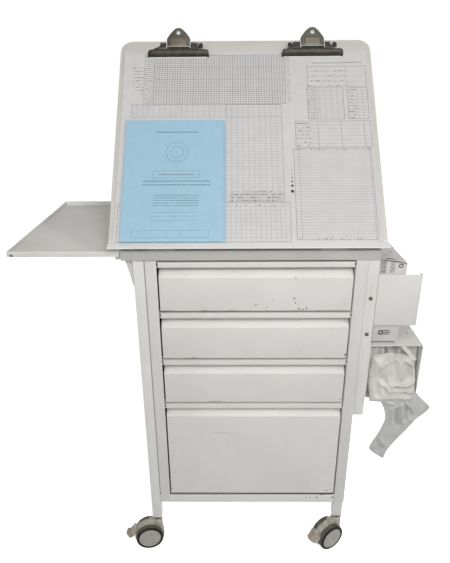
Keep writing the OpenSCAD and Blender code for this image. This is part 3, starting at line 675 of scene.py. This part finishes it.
def drawer_corners(number):
    """The two small three-cornered folds that close the ends of a drawer front's sloping top."""
    low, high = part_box("drawer_%d_front" % number)
    folds = []
    for end, inward in ((low.x, 1), (high.x, -1)):
        corner = begin("corner", "circle", vertices=3, radius=1, fill_type="NGON")
        spots = ((end, low.y, high.z - 0.018), (end + 0.0095 * inward, low.y + 0.018, high.z - 0.0003),
                 (end, low.y + 0.0195, high.z - 0.0003))
        for vertex, spot in zip(corner.data.vertices, spots):
            vertex.co = spot
        outward(corner)
        wall(corner, 0.6, 0)
        folds.append(corner)
    dress(join("drawer_%d_corner_folds" % number, *folds), drawer_white, "drawer_%d" % number, "drawer_enamel")


for node in ("leg_front_left", "leg_front_right", "leg_rear_left", "leg_rear_right"):
    rolled(node, 1.6, white, 3)
for node in ("side_panel_left", "side_panel_right"):
    rolled(node, 0.5, panel_white)
for node in ("cabinet_base", "back_panel", "divider_rails",
             "corner_gussets", "side_channel", "glove_holder", "bag_dispenser",
             "tray_hinge_leaves", "board_hinge_leaves"):
    rolled(node, 0.5, white)
for number in range(1, 5):
    rolled("drawer_%d_front" % number, 0.55, drawer_white, 3)
    drawer_corners(number)
rolled("top_slab", 0.5, slab_shaded_white)
rolled("side_tray", 0.6, tray_white)
rolled("tray_hinge_knuckles", 0.4, tray_white)
rolled("chart_board", 0.6, board_white)
rolled("board_ledge", 0.6, ledge_lit_white)
rolled("board_hinge_knuckles", 0.4, white)
rolled("clip_bases", 0.35, clip_dark)
for node in ("stay_brackets", "prop_stay", "stay_track"):
    rolled(node, 0.4, zinc)

CAD_FINISHES = {
    "cabinet_runners": zinc, "tray_hinge_pins": zinc, "board_hinge_pins": zinc,
    "castor_stems": black_plastic_and_slot_shade, "clip_springs": clip_dark,
}
for number in range(1, 5):
    CAD_FINISHES["drawer_%d_box" % number] = drawer_white
for node, finish in CAD_FINISHES.items():
    nodes[node].data.materials.clear()
    nodes[node].data.materials.append(finish)


# Papers


def flat_map(obj):
    """Gives a sheet lying in its own plane a UV map of its flat size in metres."""
    layer = obj.data.uv_layers.active or obj.data.uv_layers.new(name="UVMap")
    for loop in obj.data.loops:
        point = obj.data.vertices[loop.vertex_index].co
        layer.data[loop.index].uv = (point.x, point.y)


def sheet_of(name, left, right, low, high, across, along):
    obj = begin(name, "grid", x_subdivisions=across, y_subdivisions=along, size=1)
    obj.scale = ((right - left) / 1000, (high - low) / 1000, 1)
    obj.location = ((left + right) / 2000, (low + high) / 2000, 0)
    hold(obj)
    bpy.ops.object.transform_apply(location=True, rotation=True, scale=True)
    flat_map(obj)
    return obj


def falloff(distance, reach):
    return max(0.0, 1 - distance / reach) ** 2


def chart_pad():
    top = sheet_of("chart_top_sheet", -297, 297, 2, 503, 66, 56)
    for vertex in top.data.vertices:
        x, u = vertex.co.x * 1000, vertex.co.y * 1000
        wave = noise.noise(Vector((x / 90, u / 120, 3.1))) + 0.5 * noise.noise(Vector((x / 38, u / 60, 7.7)))
        held = min(1.0, min(math.hypot(x - CLIP_X, u - 500), math.hypot(x + CLIP_X, u - 500)) / 160)
        lift = 0.9 + 0.8 * wave * held
        lift += 5.0 * falloff(math.hypot(x + 297, u - 503), 130) * (0.7 + 0.6 * wave)
        lift += 3.2 * falloff(math.hypot(x - 297, u - 503), 110)
        lift += 2.0 * falloff(abs(x + 297), 30) * (0.6 + 0.5 * wave)
        lift += 1.3 * falloff(abs(x - 297), 26)
        lift -= 0.9 * falloff(abs(x - 108), 9)
        if -290 < x < -45 and u < 315:
            lift = min(lift, 0.35)
        vertex.co.z = (SHEETS_FACE - 0.9 + max(lift, 0.1)) / 1000
    wall(top, 0.18, -1)
    smooth(top, 40)
    settle(top, BOARD)
    under = []
    for number, (shift, drop, turn) in enumerate(((0.0, 0.0, 0.0), (1.4, -1.6, 0.10), (-1.8, 1.2, -0.14))):
        part = sheet_of("under_sheet", -295 + shift, 295 + shift, 3.5, 500 + drop, 2, 2)
        for vertex in part.data.vertices:
            vertex.co.z = (BOARD_FACE + 0.02 + 0.09 * number) / 1000
        settle(part, Matrix.Rotation(math.radians(turn), 4, "Z"))
        wall(part, 0.08, 1)
        under.append(part)
    pad = settle(join("chart_under_sheets", *under), BOARD)
    dress(top, paper_print, "board", "paper", "chart_sheets")
    dress(pad, paper_plain, "board", "paper")


def record_file():
    left, right, low, high = -283.0, -50.0, 1.8, 307.7
    base = SHEETS_FACE + 0.35

    def cover(name, edge, height, bow):
        part = sheet_of(name, left, edge, low, high, 20, 24)
        for vertex in part.data.vertices:
            x, u = vertex.co.x * 1000, vertex.co.y * 1000
            across = math.pi * min(1, (x - left) / (edge - left) * 1.25)
            rise = bow * math.sin(across) * math.sin(math.pi * (u - low) / (high - low) * 0.9)
            vertex.co.z = (height + rise) / 1000
        wall(part, 0.6, 1)
        smooth(part, 40)
        return part

    back = cover("file_back_cover", right, base, 0.0)
    leaves = block("file_leaves", (left + 3, low + 2, base + 0.7), (right - 6, high - 4, base + 4.6))
    pick(leaves, lambda middle, along: abs(along.x) > 0.5)
    bpy.ops.mesh.subdivide(number_cuts=3)
    lay_down()
    round_edges(leaves, 0.4, 1)
    front = cover("file_front_cover", right - 3.4, base + 4.8, 0.9)
    spine = block("file_spine", (left, low, base + 0.3), (left + 0.7, high, base + 5.2))
    round_edges(spine, 0.3, 2)
    for part in (back, leaves, front, spine):
        settle(part, BOARD)
    dress(front, file_print, "board", "file_card", "record_file")
    dress(back, file_print, "board", "file_card")
    dress(spine, file_print, "board", "file_card")
    dress(leaves, paper_plain, "board", "paper")


chart_pad()
record_file()


# Clips: y runs up the board from the lever's pin, z stands off the board


# Half the dome's width at each part of its height
DOME = (
    (0.0, 29.0), (0.42, 29.0), (0.5, 27.8), (0.6, 24.8), (0.7, 21.2), (0.78, 18.2),
    (0.86, 14.8), (0.92, 11.6), (0.96, 8.6), (0.985, 5.6), (1.0, 0.8),
)


def between(table, value):
    for (first, low), (last, high) in zip(table, table[1:]):
        if value <= last:
            return low + (high - low) * (value - first) / (last - first)
    return table[-1][1]


def rod(name, start, end, radius, vertices=12):
    start, end = up(start), up(end)
    return begin(name, "cylinder", radius=radius / 1000, depth=(end - start).length, vertices=vertices,
                 location=(start + end) / 2, rotation=(end - start).to_track_quat("Z", "Y").to_euler())


def lever(side):
    body = "clip_" + side
    place = clip_place(side)
    dome = begin("clip_" + side + "_dome", "grid", x_subdivisions=48, y_subdivisions=48, size=2)
    for vertex in dome.data.vertices:
        across, along = vertex.co.x, (vertex.co.y + 1) / 2
        half = between(DOME, along)
        x, y = across * half, 1.5 + 48 * along
        rim = max(0.0, 1 - min(half - abs(x), 50.2 - y) / 4.5)
        z = 4.6 + 0.205 * y + 1.4 * (1 - across ** 2) - 3.0 * rim ** 2
        panel = min(19.5 - abs(x), y - 3.5, 23 - y)
        z += 1.1 * min(1.0, max(0.0, panel / 1.4))
        vertex.co = (x / 1000, y / 1000, z / 1000)
    pick(dome, lambda middle, along: math.hypot(middle.x, middle.y - 35) < 2.9)
    bpy.ops.mesh.delete(type="FACE")
    lay_down()
    for finish in (clip_dark, clip_panel, clip_jaw):
        dome.data.materials.append(finish)
    for face in dome.data.polygons:
        middle = face.center * 1000
        if abs(middle.x) < 19 and 4 < middle.y < 22.5:
            face.material_index = 1
    wall(dome, 1.2, -1)
    jaw = begin("jaw", "grid", x_subdivisions=60, y_subdivisions=36, size=2)
    for vertex in jaw.data.vertices:
        across, along = vertex.co.x, (vertex.co.y + 1) / 2
        if along < 0.62:
            turn = math.radians(90 * along / 0.62)
            y, z = -7.5 - 13.4 * math.cos(turn), -6.3 + 13.0 * math.sin(turn)
            end = 75.0 - 3.0 * max(0.0, (along - 0.30) / 0.32) ** 2 - 3.0 * max(0.0, 1 - along / 0.15) ** 2
        else:
            part = (along - 0.62) / 0.38
            y, z = -7.5 + 10.5 * part, 6.7 - 0.5 * part
            end = 34.0 - 4.0 * min(1.0, part * 4)
        x = across * end
        z -= 2.2 * max(0.0, 1 - (end - abs(x)) / 7) ** 2 * (along < 0.62)
        vertex.co = (x / 1000, y / 1000, z / 1000)
    wall(jaw, 1.5, -1)
    jaw.data.materials.append(clip_jaw)
    lip = rod("lip", (-70.5, -20.6, -5.8), (70.5, -20.6, -5.8), 1.2, 16)
    lugs = []
    for sign in (-1, 1):
        lug = begin("lug", "cube", size=1, location=(sign * 0.0287, 0.004, 0.0012),
                    scale=(0.0014, 0.017, 0.0125))
        reshape(lug, lambda middle, along: along.y > 0.5, (1, 1, 0.35), (0, 0.004, 0.003))
        lugs.append(lug)
    piece = join("clip_" + side + "_lever_pressed", dome, jaw, lip, *lugs)
    smooth(piece, 42)
    settle(piece, place)
    dress(piece, clip_dark, body, "clip_metal", "clip_" + side + "_lever")
    # The eyelet round the hole and the bead along the lever's top roll are real parts; their pale colour is
    # painted highlight.
    eyelet = begin("clip_" + side + "_bright_edges", "torus", major_radius=0.0043, minor_radius=0.0013,
                   major_segments=36, minor_segments=12, location=(0, 0.035, 0.0134),
                   rotation=(math.radians(11.6), 0, 0))
    bead = rod("bead", (-27.5, 0.8, 7.0), (27.5, 0.8, 7.0), 1.0, 16)
    bright = join("clip_" + side + "_bright_edges", eyelet, bead)
    smooth(bright, 42)
    settle(bright, place)
    dress(bright, clip_painted_highlight, body, "clip_metal")


def clip_ears(side):
    """The foot's round ears and the spring's legs beside the dome; the left clip's left ear is bent down."""
    parts = []
    for sign in (-1, 1):
        if side == "left" and sign < 0:
            wing = block("wing", (-70, -10, -3.5), (-30, 16, 1.5))
            reshape(wing, lambda middle, along: along.x < -0.5, (1, 0.18, 0.6), (0, -0.0105, 0))
            coil = begin("coil", "torus", major_radius=0.0034, minor_radius=0.0009, major_segments=24,
                         minor_segments=8, location=(-0.039, 0.004, 0.0018))
            parts += [wing, coil]
            continue
        tab = begin("tab", "cylinder", radius=0.0056, depth=0.0016, vertices=32,
                    location=(sign * 0.0545, 0.0085, 0.0024))
        reshape(tab, lambda middle, along: middle.y < 8.2, (1, 0.2, 1), (0, -0.0045, 0), "VERT")
        rivet = begin("rivet", "cylinder", radius=0.0024, depth=0.0014, vertices=20,
                      location=(sign * 0.0545, 0.0085, 0.0036))
        leg = rod("leg", (sign * 29.5, 15, 2.6), (sign * 49.5, 3.0, 2.6), 1.1)
        foot = rod("foot", (sign * 29.5, 1.2, 1.2), (sign * 57, 1.2, 1.2), 1.0)
        parts += [tab, rivet, leg, foot]
    piece = join("clip_" + side + "_foot_ears", *parts)
    round_edges(piece, 0.4, 2)
    settle(piece, clip_place(side))
    dress(piece, clip_jaw, "board", "clip_metal")


for side in ("left", "right"):
    lever(side)
    clip_ears(side)


# Castors: x runs from the swivel axis to the axle


def castor_place(corner):
    swivel = Vector(joints["swivel_" + corner]["pos_m"])
    axle = Vector(joints["roll_" + corner]["pos_m"])
    turn = math.atan2(axle.y - swivel.y, axle.x - swivel.x)
    return Matrix.Translation((swivel.x, swivel.y, 0)) @ Matrix.Rotation(turn, 4, "Z")


def lathe(name, profile, centre, axis, steps=64, closed=False):
    """Spins a profile, given as points in millimetres, round an axis."""
    obj = begin(name, "circle", vertices=len(profile), radius=1)
    for vertex, point in zip(obj.data.vertices, profile):
        vertex.co = up(point)
    if not closed:
        ends = (up(profile[0]) + up(profile[-1])) * 500
        pick(obj, lambda middle, along: (middle - ends).length < 0.01, "EDGE")
        bpy.ops.mesh.delete(type="EDGE")
        lay_down()
    open_all(obj)
    bpy.ops.mesh.spin(steps=steps, angle=math.tau, center=up(centre), axis=axis)
    lay_down()
    smooth(outward(obj), 35)
    return obj


# Outlines that are spun round the axle: distance along it and radius
TREAD = (
    (9, 31), (9, 35.6), (9.7, 36.9), (11.0, 37.45), (14.6, 37.5), (15.3, 36.9), (16.7, 36.9), (17.4, 37.5),
    (20.2, 37.4), (22.2, 36.5), (23.2, 34.6), (23.2, 30.4), (22.2, 29.3), (20.5, 29.3),
)
DISC = (
    (9.2, 10), (9.2, 29.8), (21.2, 29.8), (22.6, 29.4), (23.1, 28.6), (22.9, 27.8), (22.2, 27.3),
    (22.6, 24), (23.2, 14), (23.4, 0.0),
)


def wheels(corner):
    place = castor_place(corner)
    treads, discs = [], []
    for side in (-1, 1):
        centre = (TRAIL, 0, WHEEL_RADIUS)
        rim, face = ([(TRAIL, side * y, WHEEL_RADIUS + r) for y, r in outline] for outline in (TREAD, DISC))
        treads.append(lathe("tread", rim, centre, (0, 1, 0), closed=True))
        discs.append(lathe("disc", face, centre, (0, 1, 0)))
    tread = join("castor_%s_treads" % corner, *treads)
    for finish in (tyre_tread, tyre_rubber):
        tread.data.materials.append(finish)
    for face in tread.data.polygons:
        face.material_index = int(not 9.9 < abs(face.center.y * 1000) < 20.4)
    settle(tread, place)
    disc = settle(join("castor_%s_covers" % corner, *discs), place)
    dress(tread, tyre_rubber, "wheels_" + corner, "tyre_grey", "castor_%s_tyres" % corner)
    dress(disc, disc_plastic, "wheels_" + corner, "castor_grey")


def hood_ribs(corner):
    """Small ribs across the hood, next to the pedal."""
    ribs = []
    for number in range(4):
        turn = math.radians(40 + 9 * number)
        rib = begin("rib", "cube", size=1, scale=(0.0016, 0.0150, 0.0016))
        spot = (TRAIL + HOOD_RADIUS * math.cos(turn), 0, WHEEL_RADIUS + HOOD_RADIUS * math.sin(turn))
        settle(rib, Matrix.Translation(up(spot)) @ Matrix.Rotation(math.pi / 2 - turn, 4, "Y"))
        ribs.append(rib)
    piece = join("castor_%s_hood_ribs" % corner, *ribs)
    round_edges(piece, 0.4, 2)
    settle(piece, castor_place(corner))
    dress(piece, castor_plastic, "castor_" + corner, "castor_grey")


# The pedal's middle line, x and z, and half its width there
PEDAL = ((62.5, 61.5, 12.0), (66.5, 62.4, 16.5), (71.0, 60.2, 18.6), (75.0, 56.2, 19.0), (78.6, 52.0, 18.8),
         (82.0, 48.6, 18.0), (84.8, 47.0, 17.0), (86.8, 47.4, 16.2), (87.6, 49.2, 15.6))


def pedal(corner):
    """A scooped foot pedal with a rolled lip, hinged on the hood."""
    scoop = begin("castor_%s_pedal_scoop" % corner, "grid", x_subdivisions=40, y_subdivisions=24, size=2)
    for vertex in scoop.data.vertices:
        along, across = (vertex.co.x + 1) / 2 * (len(PEDAL) - 1), vertex.co.y
        step = min(int(along), len(PEDAL) - 2)
        x, z, half = (a + (b - a) * (along - step) for a, b in zip(PEDAL[step], PEDAL[step + 1]))
        vertex.co = up((x - 6.5 * across ** 2 * min(1, along / 3), across * half, z - 2.0 * across ** 4))
    wall(scoop, 2.6, -1)
    cheeks = [rod("cheek", (64.1, sign * 8.5, 59.5), (64.1, sign * 12.0, 59.5), 4.5, 28) for sign in (-1, 1)]
    piece = join("castor_%s_pedal_scoop" % corner, scoop, *cheeks)
    modify(piece, "BEVEL", width=0.0007, segments=2, limit_method="ANGLE", angle_limit=math.radians(50))
    smooth(piece, 40)
    settle(piece, castor_place(corner))
    dress(piece, pedal_plastic, "pedal_" + corner, "castor_grey", "castor_%s_pedal" % corner)


for corner in ("fl", "fr", "rl", "rr"):
    wheels(corner)
    hood_ribs(corner)
    rolled("castor_%s_hood" % corner, 1.3, castor_plastic, 3)
for corner in ("fl", "fr"):
    pedal(corner)


# Holders: the bags, the glove carton and the screws


def crumple(point, size, seed):
    """Sharp folds: how far a point of the film is pushed, between about -1 and 1."""
    place = point / size + Vector((seed, seed * 1.7, -seed))
    slow = place * 0.6
    drift = Vector((noise.noise(slow), noise.noise(slow + Vector((9, 3, 5))), noise.noise(place * 0.5)))
    ridge = 1 - 2.4 * abs(noise.noise(place + drift * 0.9))
    small = 1 - 2.4 * abs(noise.noise(place * 2.3 + drift))
    return 0.62 * ridge + 0.3 * small


def film_blob(name, centre, radii, seed, depth, size, boxed=True):
    blob = begin(name, "ico_sphere", subdivisions=6, radius=1)
    for vertex in blob.data.vertices:
        along = vertex.co.normalized()
        spread = max(abs(along.x), abs(along.y), abs(along.z))
        full = along.lerp(along / spread, 0.42)
        point = Vector((full.x * radii[0], full.y * radii[1], full.z * radii[2]))
        point += along * depth * crumple(point, size, seed)
        point += Vector(centre)
        point.x = min(max(point.x, 287.2), 406.6)
        if boxed and point.y > -1.0:
            point.z = min(max(point.z, 497.0), 637.5)
        vertex.co = at(*point)
    smooth(blob, 28)
    return blob


# Folds of the film: a line of x and z points, its width and how far it stands out
FRONT_FOLDS = (
    (((307, 572), (320, 594), (332, 603), (346, 607), (365, 608), (380, 598), (391, 584)), 4.5, 5.0),
    (((359, 601), (358, 581), (364, 557)), 6.0, 4.0),
    (((335, 608), (330, 567), (340, 529)), 7.0, 4.5),
    (((345, 596), (346, 560), (352, 540)), 5.0, -3.0),
    (((388, 588), (388, 555)), 6.5, -9.0),
    (((372, 590), (378, 565), (374, 548)), 6.0, -4.0),
    (((312, 575), (306, 545), (310, 515)), 7.0, -3.5),
    (((340, 541), (375, 537), (402, 546)), 3.2, 5.0),
    (((345, 527), (372, 528), (409, 517)), 3.4, 5.0),
    (((374, 532), (404, 531)), 3.0, -8.0),
    (((350, 534), (372, 533)), 2.4, -3.0),
    (((315, 541), (327, 539), (336, 525)), 4.0, 3.5),
    (((372, 519), (400, 507)), 4.0, -6.0),
)
BACK_FOLDS = (
    (((322, 620), (321, 540)), 5.0, 7.0), (((336, 620), (333, 560)), 4.5, 6.0),
    (((329, 620), (327, 550)), 3.5, -6.0), (((364, 625), (355, 590)), 5.0, 6.0),
    (((348, 625), (346, 600)), 5.0, -5.0), (((305, 620), (300, 520)), 6.0, 5.0),
    (((380, 625), (384, 560)), 6.0, 5.0), (((312, 560), (309, 510)), 4.0, -4.0),
)
TAIL_FOLDS = (
    (((335, 490), (350, 487)), 3.0, 3.0), (((383, 489), (396, 477), (402, 462)), 3.0, 3.5),
    (((372, 483), (376, 433)), 4.5, 3.5), (((350, 472), (356, 420), (343, 372)), 7.0, 3.5),
    (((398, 440), (407, 428)), 3.0, 3.0), (((362, 470), (364, 430)), 4.0, -3.0),
    (((388, 470), (386, 440)), 4.0, -3.0), (((330, 380), (352, 350)), 6.0, 2.5),
)


def folded(x, z, folds):
    """How far the folds lift a point of the film: each is a line of points, a width and a height."""
    lift = 0.0
    for line, width, height in folds:
        nearest = 1e9
        for (x0, z0), (x1, z1) in zip(line, line[1:]):
            run, rise = x1 - x0, z1 - z0
            part = min(1.0, max(0.0, ((x - x0) * run + (z - z0) * rise) / (run * run + rise * rise)))
            nearest = min(nearest, math.hypot(x - x0 - part * run, z - z0 - part * rise))
        lift += height * math.exp(-(nearest / width) ** 2)
    return lift


def bags():
    mass = film_blob("bags_behind", (346, 74, 562), (57, 50, 64), 3.1, 4, 60)
    back = begin("bags_back_film", "grid", x_subdivisions=80, y_subdivisions=90, size=2)
    for vertex in back.data.vertices:
        x, z = 347 + 58.5 * vertex.co.x, 567.5 + 69.5 * vertex.co.y
        wave = noise.noise(Vector((x / 24, z / 60, 5.3)))
        y = 22 - 1.4 * folded(x, z, BACK_FOLDS) - 5 * wave + 0.06 * (z - 560)
        vertex.co = at(x, y, z)
    wall(back, 0.5, 0)
    front = begin("bags_front_fold", "grid", x_subdivisions=110, y_subdivisions=110, size=2)
    for vertex in front.data.vertices:
        s, t = vertex.co.x, vertex.co.y
        tuck = 0.15 if s < 0 and t < 0 else 0.62
        u, v = s * math.sqrt(1 - tuck * t * t / 2), t * math.sqrt(1 - tuck * s * s / 2)
        ripple = 3.5 * noise.noise(Vector((u * 2.2, v * 2.2, 8.1)))
        x, z = 347 + 57 * u - 3 * v + ripple, 551 + 62 * v + (1.5 * ripple if v > 0.5 else 0)
        edge = max(0.0, 1 - max(abs(s), abs(t)) ** 3)
        wave = noise.noise(Vector((x / 30, z / 42, 1.9))) + 0.4 * noise.noise(Vector((x / 12, z / 17, 4.4)))
        rim = 15 - 22 * min(1.0, max(0.0, -1.4 * v))
        bulge = max(8.0, 25 + 9 * v) if v < 0 else 25
        y = rim - bulge * edge ** 0.5 - (1.3 * folded(x, z, FRONT_FOLDS) + 4.0 * wave) * min(1.0, 3 * edge)
        vertex.co = at(min(max(x, 287.4), 406.3), max(y, -24), z)
    wall(front, 0.5, 0)
    piece = join("bags_in_dispenser", mass, back, front)
    smooth(piece, 50)
    dress(piece, film, "cabinet", "film", "bag_film")


# The hanging bag's outline: z, left x and right x
TAIL = (
    (530, 306, 392), (515, 309, 405), (495, 319, 424), (482, 326, 438), (474, 330, 443), (462, 334, 436),
    (450, 337, 424), (438, 337, 413), (424, 334, 404), (408, 329, 394), (390, 322, 382), (374, 314, 371),
    (358, 308, 361), (349, 307, 356), (340, 314, 352), (330, 327, 349), (320, 341, 347),
)


def bag_tail():
    rows, columns = 84, 44
    layers = []
    for layer in range(2):
        sheet = begin("tail_layer", "grid", x_subdivisions=columns, y_subdivisions=rows, size=2)
        for vertex in sheet.data.vertices:
            across = (vertex.co.x + 1) / 2
            down = (1 - vertex.co.y) / 2 * (len(TAIL) - 1)
            step = min(int(down), len(TAIL) - 2)
            part = down - step
            z, left, right = (a + (b - a) * part for a, b in zip(TAIL[step], TAIL[step + 1]))
            x = left + (right - left) * across
            fold = crumple(Vector((x * 1.3, layer * 20.0, z * 0.55)), 26, 4.4)
            long_fold = noise.noise(Vector((across * 4.2 + 0.004 * z, layer * 3.0, z / 140)))
            belly = math.sin(math.pi * across) ** 0.5
            y = -12 + (1.8 * fold + 4.0 * long_fold) * belly * 0.8
            y += (-3.0 - 2.2 * folded(x, z, TAIL_FOLDS) if layer == 0 else 3.0) * belly
            if z > 505:
                y += (z - 505) * 0.35
            vertex.co = at(x, y, z + 0.5 * fold)
        wall(sheet, 0.4, 0)
        layers.append(sheet)
    piece = join("bag_hanging_out", *layers)
    smooth(piece, 30)
    dress(piece, film_low, "cabinet", "film")


def carton_print():
    recipe = Recipe("printed glove carton")
    moved = recipe.vector("SUBTRACT", recipe.place, tuple(HOME))
    x, depth, z = recipe.apart(recipe.vector("MULTIPLY", moved, (1000, 1000, 1000)))
    face = Print(recipe)
    face.x, face.y = x, z
    flat = recipe.add("CombineXYZ")
    recipe.feed(flat.inputs[0], recipe.sum("DIVIDE", face.x, 1000.0))
    recipe.feed(flat.inputs[1], recipe.sum("DIVIDE", face.y, 1000.0))
    face.flat = flat.outputs[0]
    front = recipe.sum("LESS_THAN", depth, 6.0)
    dark = recipe.sum("MULTIPLY", front, face.layer(
        dashes=((288.5, 299, 822, 850, 3.1, 1.9, 0.34, 330), (309, 318.5, 824, 847, 3.6, 1.7, 0.40, 380)),
        ring=((333, 839.5, 4.2, 2.8), (305.5, 673.5, 4.4, 4.4)),
        box=((310, 322, 668, 668, FAR, FAR, 2.8), (311, 325, 672.6, 672.6, FAR, FAR, 2.8),
             # The box along the foot at z 647 is a painted shadow line; the other boxes are print.
             (310, 323, 677.2, 677.2, FAR, FAR, 2.6), (286, 337, 647, 647, FAR, FAR, 3.0)),
    ))
    base = recipe.mix(recipe.span(recipe.noise(30, 4), 0.3, 0.7), (204, 199, 197), (216, 211, 209))
    base = recipe.over(base, recipe.span(z, 700, 640), 0.35, (184, 184, 190))
    base = recipe.over(base, dark, 0.88, (50, 50, 57))
    recipe.set(Base_Color=base, Roughness=0.42)
    return recipe.material


def glove_carton():
    printed = carton_print()
    body = block("carton_body", (287.1, 4, 640.1), (346.9, 124, 845))
    pick(body, lambda middle, along: along.z > 0.5)
    bpy.ops.mesh.inset(thickness=0.0006)
    bpy.ops.mesh.inset(thickness=0.012)
    bpy.ops.mesh.inset(thickness=0.004)
    bpy.ops.transform.resize(value=(1.2, 0.72, 1))
    bpy.ops.mesh.extrude_region_move(TRANSFORM_OT_translate={"value": (0, 0, -0.012)})
    lay_down()
    round_edges(body, 0.5, 2)
    settle(body, Matrix.Translation(HOME))
    dress(body, printed, "cabinet", "carton", "glove_box")
    glove = film_blob("glove_tip", (317, 60, 836), (21, 33, 9.5), 2.2, 2, 16, boxed=False)
    dress(glove, film, "cabinet", "film")

    def lip(x):
        return 853 - 8.2 * ((x - 287) / 60) ** 2.2

    flap = sheet_of("carton_flap", 287.2, 346.8, 0, 1, 24, 16)
    for vertex in flap.data.vertices:
        x, along = vertex.co.x * 1000, vertex.co.y * 1000
        rise, back = min(1.0, along / 0.3), max(0.0, along - 0.3) / 0.7
        top = 842 + (lip(x) - 842) * rise
        vertex.co = at(x, 3.5 + 30 * back, top + (845.6 - top) * back)
    wall(flap, 0.5, 1)
    dress(flap, printed, "cabinet", "carton")
    # Two thin dark sheets of painted shadow: one under the front edge of the lifted flap, one in the opening in
    # front of the glove.
    gaps = []
    for name, left, right, depth, wide in (("lip", 287.4, 345, 3.1, 2.6), ("slit_shadow", 300, 327, 18, 4.0)):
        gap = sheet_of("carton_" + name, left, right, 0, 1, 24, 2)
        for vertex in gap.data.vertices:
            x, along = vertex.co.x * 1000, vertex.co.y * 1000
            ends = 1 - (2 * (x - left) / (right - left) - 1) ** 2
            if name == "lip":
                vertex.co = at(x, depth, lip(x) + 0.2 - wide * along * (0.4 + 0.6 * ends))
            else:
                z = lip(x) + (845.6 - lip(x)) * depth / 30 + 1.0
                vertex.co = at(x, depth + 5 * ends + wide * along * ends, z)
        wall(gap, 0.4, 0)
        gaps.append(gap)
    dress(join("carton_gap_shadows", *gaps), gap_shadow_paint, "cabinet", "carton")


def screw_heads():
    heads = []
    for z in (762, 671):
        head = lathe("screw", [(272.5, -3.1, z), (272.5, -3.0, z + 2.2), (272.5, -2.3, z + 4.0),
                               (272.5, -1.0, z + 4.6), (272.5, 0.2, z + 4.6)], (272.5, 0, z), (0, 1, 0), 32)
        settle(head, Matrix.Translation(HOME))
        # A black bar across the head: painted shade in the screw's slot
        slot = block("slot", (268.4, -3.5, z - 0.55), (276.6, -1.9, z + 0.55))
        settle(slot, Matrix.Translation(HOME))
        turned = Matrix.Translation(at(272.5, 0, z)) @ Matrix.Rotation(0.6, 4, "Y")
        settle(slot, turned @ Matrix.Translation(-at(272.5, 0, z)))
        head.data.materials.append(screw_grey)
        slot.data.materials.append(black_plastic_and_slot_shade)
        heads += [head, slot]
    piece = join("channel_screw_heads", *heads)
    dress(piece, screw_grey, "cabinet", "zinc", "channel_screws")


def dispenser_details():
    # A black disc: painted shade in a small hole of the dispenser's top
    hole = begin("dispenser_hole", "cylinder", radius=0.0022, depth=0.0006, vertices=24,
                 location=at(389, 63, 640.1))
    dress(hole, black_plastic_and_slot_shade, "cabinet", "enamel")
    strap = sheet_of("dispenser_strap", -5, 5, 0, 60, 4, 24)
    for vertex in strap.data.vertices:
        x, run = vertex.co.x * 1000, vertex.co.y * 1000
        vertex.co = at(361 + 0.62 * run + 0.75 * x, 1.5 + 0.12 * run, min(638.3, 639 - 0.72 * run + 0.6 * x))
    wall(strap, 0.8, 0)
    dress(strap, white, "cabinet", "enamel")


bags()
bag_tail()
glove_carton()
screw_heads()
dispenser_details()


# Stage

FLOOR_GLOW = 0.9
AMBIENT = 0.12

bpy.ops.object.select_all(action="DESELECT")
bpy.ops.mesh.primitive_plane_add(size=24, location=(0, 0, 0))
floor = bpy.context.object
floor.name = "floor"
floor_recipe = Recipe("pale floor")
floor_recipe.set(Base_Color=(0.75, 0.75, 0.75, 1.0), Roughness=0.9, Emission_Color=(1, 1, 1, 1))
paths = floor_recipe.add("LightPath").outputs
seen = floor_recipe.sum("MAXIMUM", paths["Is Camera Ray"], floor_recipe.sum(
    "MAXIMUM", paths["Is Glossy Ray"], paths["Is Transmission Ray"]))
floor_recipe.set(Emission_Strength=floor_recipe.sum("MULTIPLY", seen, FLOOR_GLOW))
floor.data.materials.append(floor_recipe.material)

world = bpy.data.worlds.new("studio")
bpy.context.scene.world = world
world.use_nodes = True
sky = world.node_tree.nodes["Background"]
paths = world.node_tree.nodes.new("ShaderNodeLightPath").outputs
shown = paths["Is Camera Ray"]
for ray in ("Is Glossy Ray", "Is Transmission Ray"):
    either = world.node_tree.nodes.new("ShaderNodeMath")
    either.operation = "MAXIMUM"
    world.node_tree.links.new(shown, either.inputs[0])
    world.node_tree.links.new(paths[ray], either.inputs[1])
    shown = either.outputs[0]
level = world.node_tree.nodes.new("ShaderNodeMapRange")
level.inputs["To Min"].default_value = AMBIENT
level.inputs["To Max"].default_value = 1.0
world.node_tree.links.new(shown, level.inputs["Value"])
world.node_tree.links.new(level.outputs[0], sky.inputs["Strength"])
sky.inputs["Color"].default_value = (1, 1, 1, 1)

# Each lamp's place, the height it aims at over the middle of the floor, its size and its watts
LAMPS = {
    "key": ((0.9, -2.6, 2.35), 0.8, 0.7, 22),
    "top_fill": ((0.5, -1.7, 3.3), 0.8, 1.2, 14),
    "side_key": ((2.9, -2.2, 2.6), 0.9, 0.5, 28),
    "front_fill": ((-0.1, -1.35, 1.7), 0.8, 0.7, 6.5),
    "left_fill": ((-2.6, -1.8, 2.2), 0.8, 1.5, 15),
    "back_fill": ((0.3, 3.0, 0.5), 0.7, 0.6, 16),
}
for name, (place, aim_height, size, power) in LAMPS.items():
    area_light(name, place, aim_height, size, power)

photo_camera()
bpy.context.scene.view_settings.view_transform = "Standard"
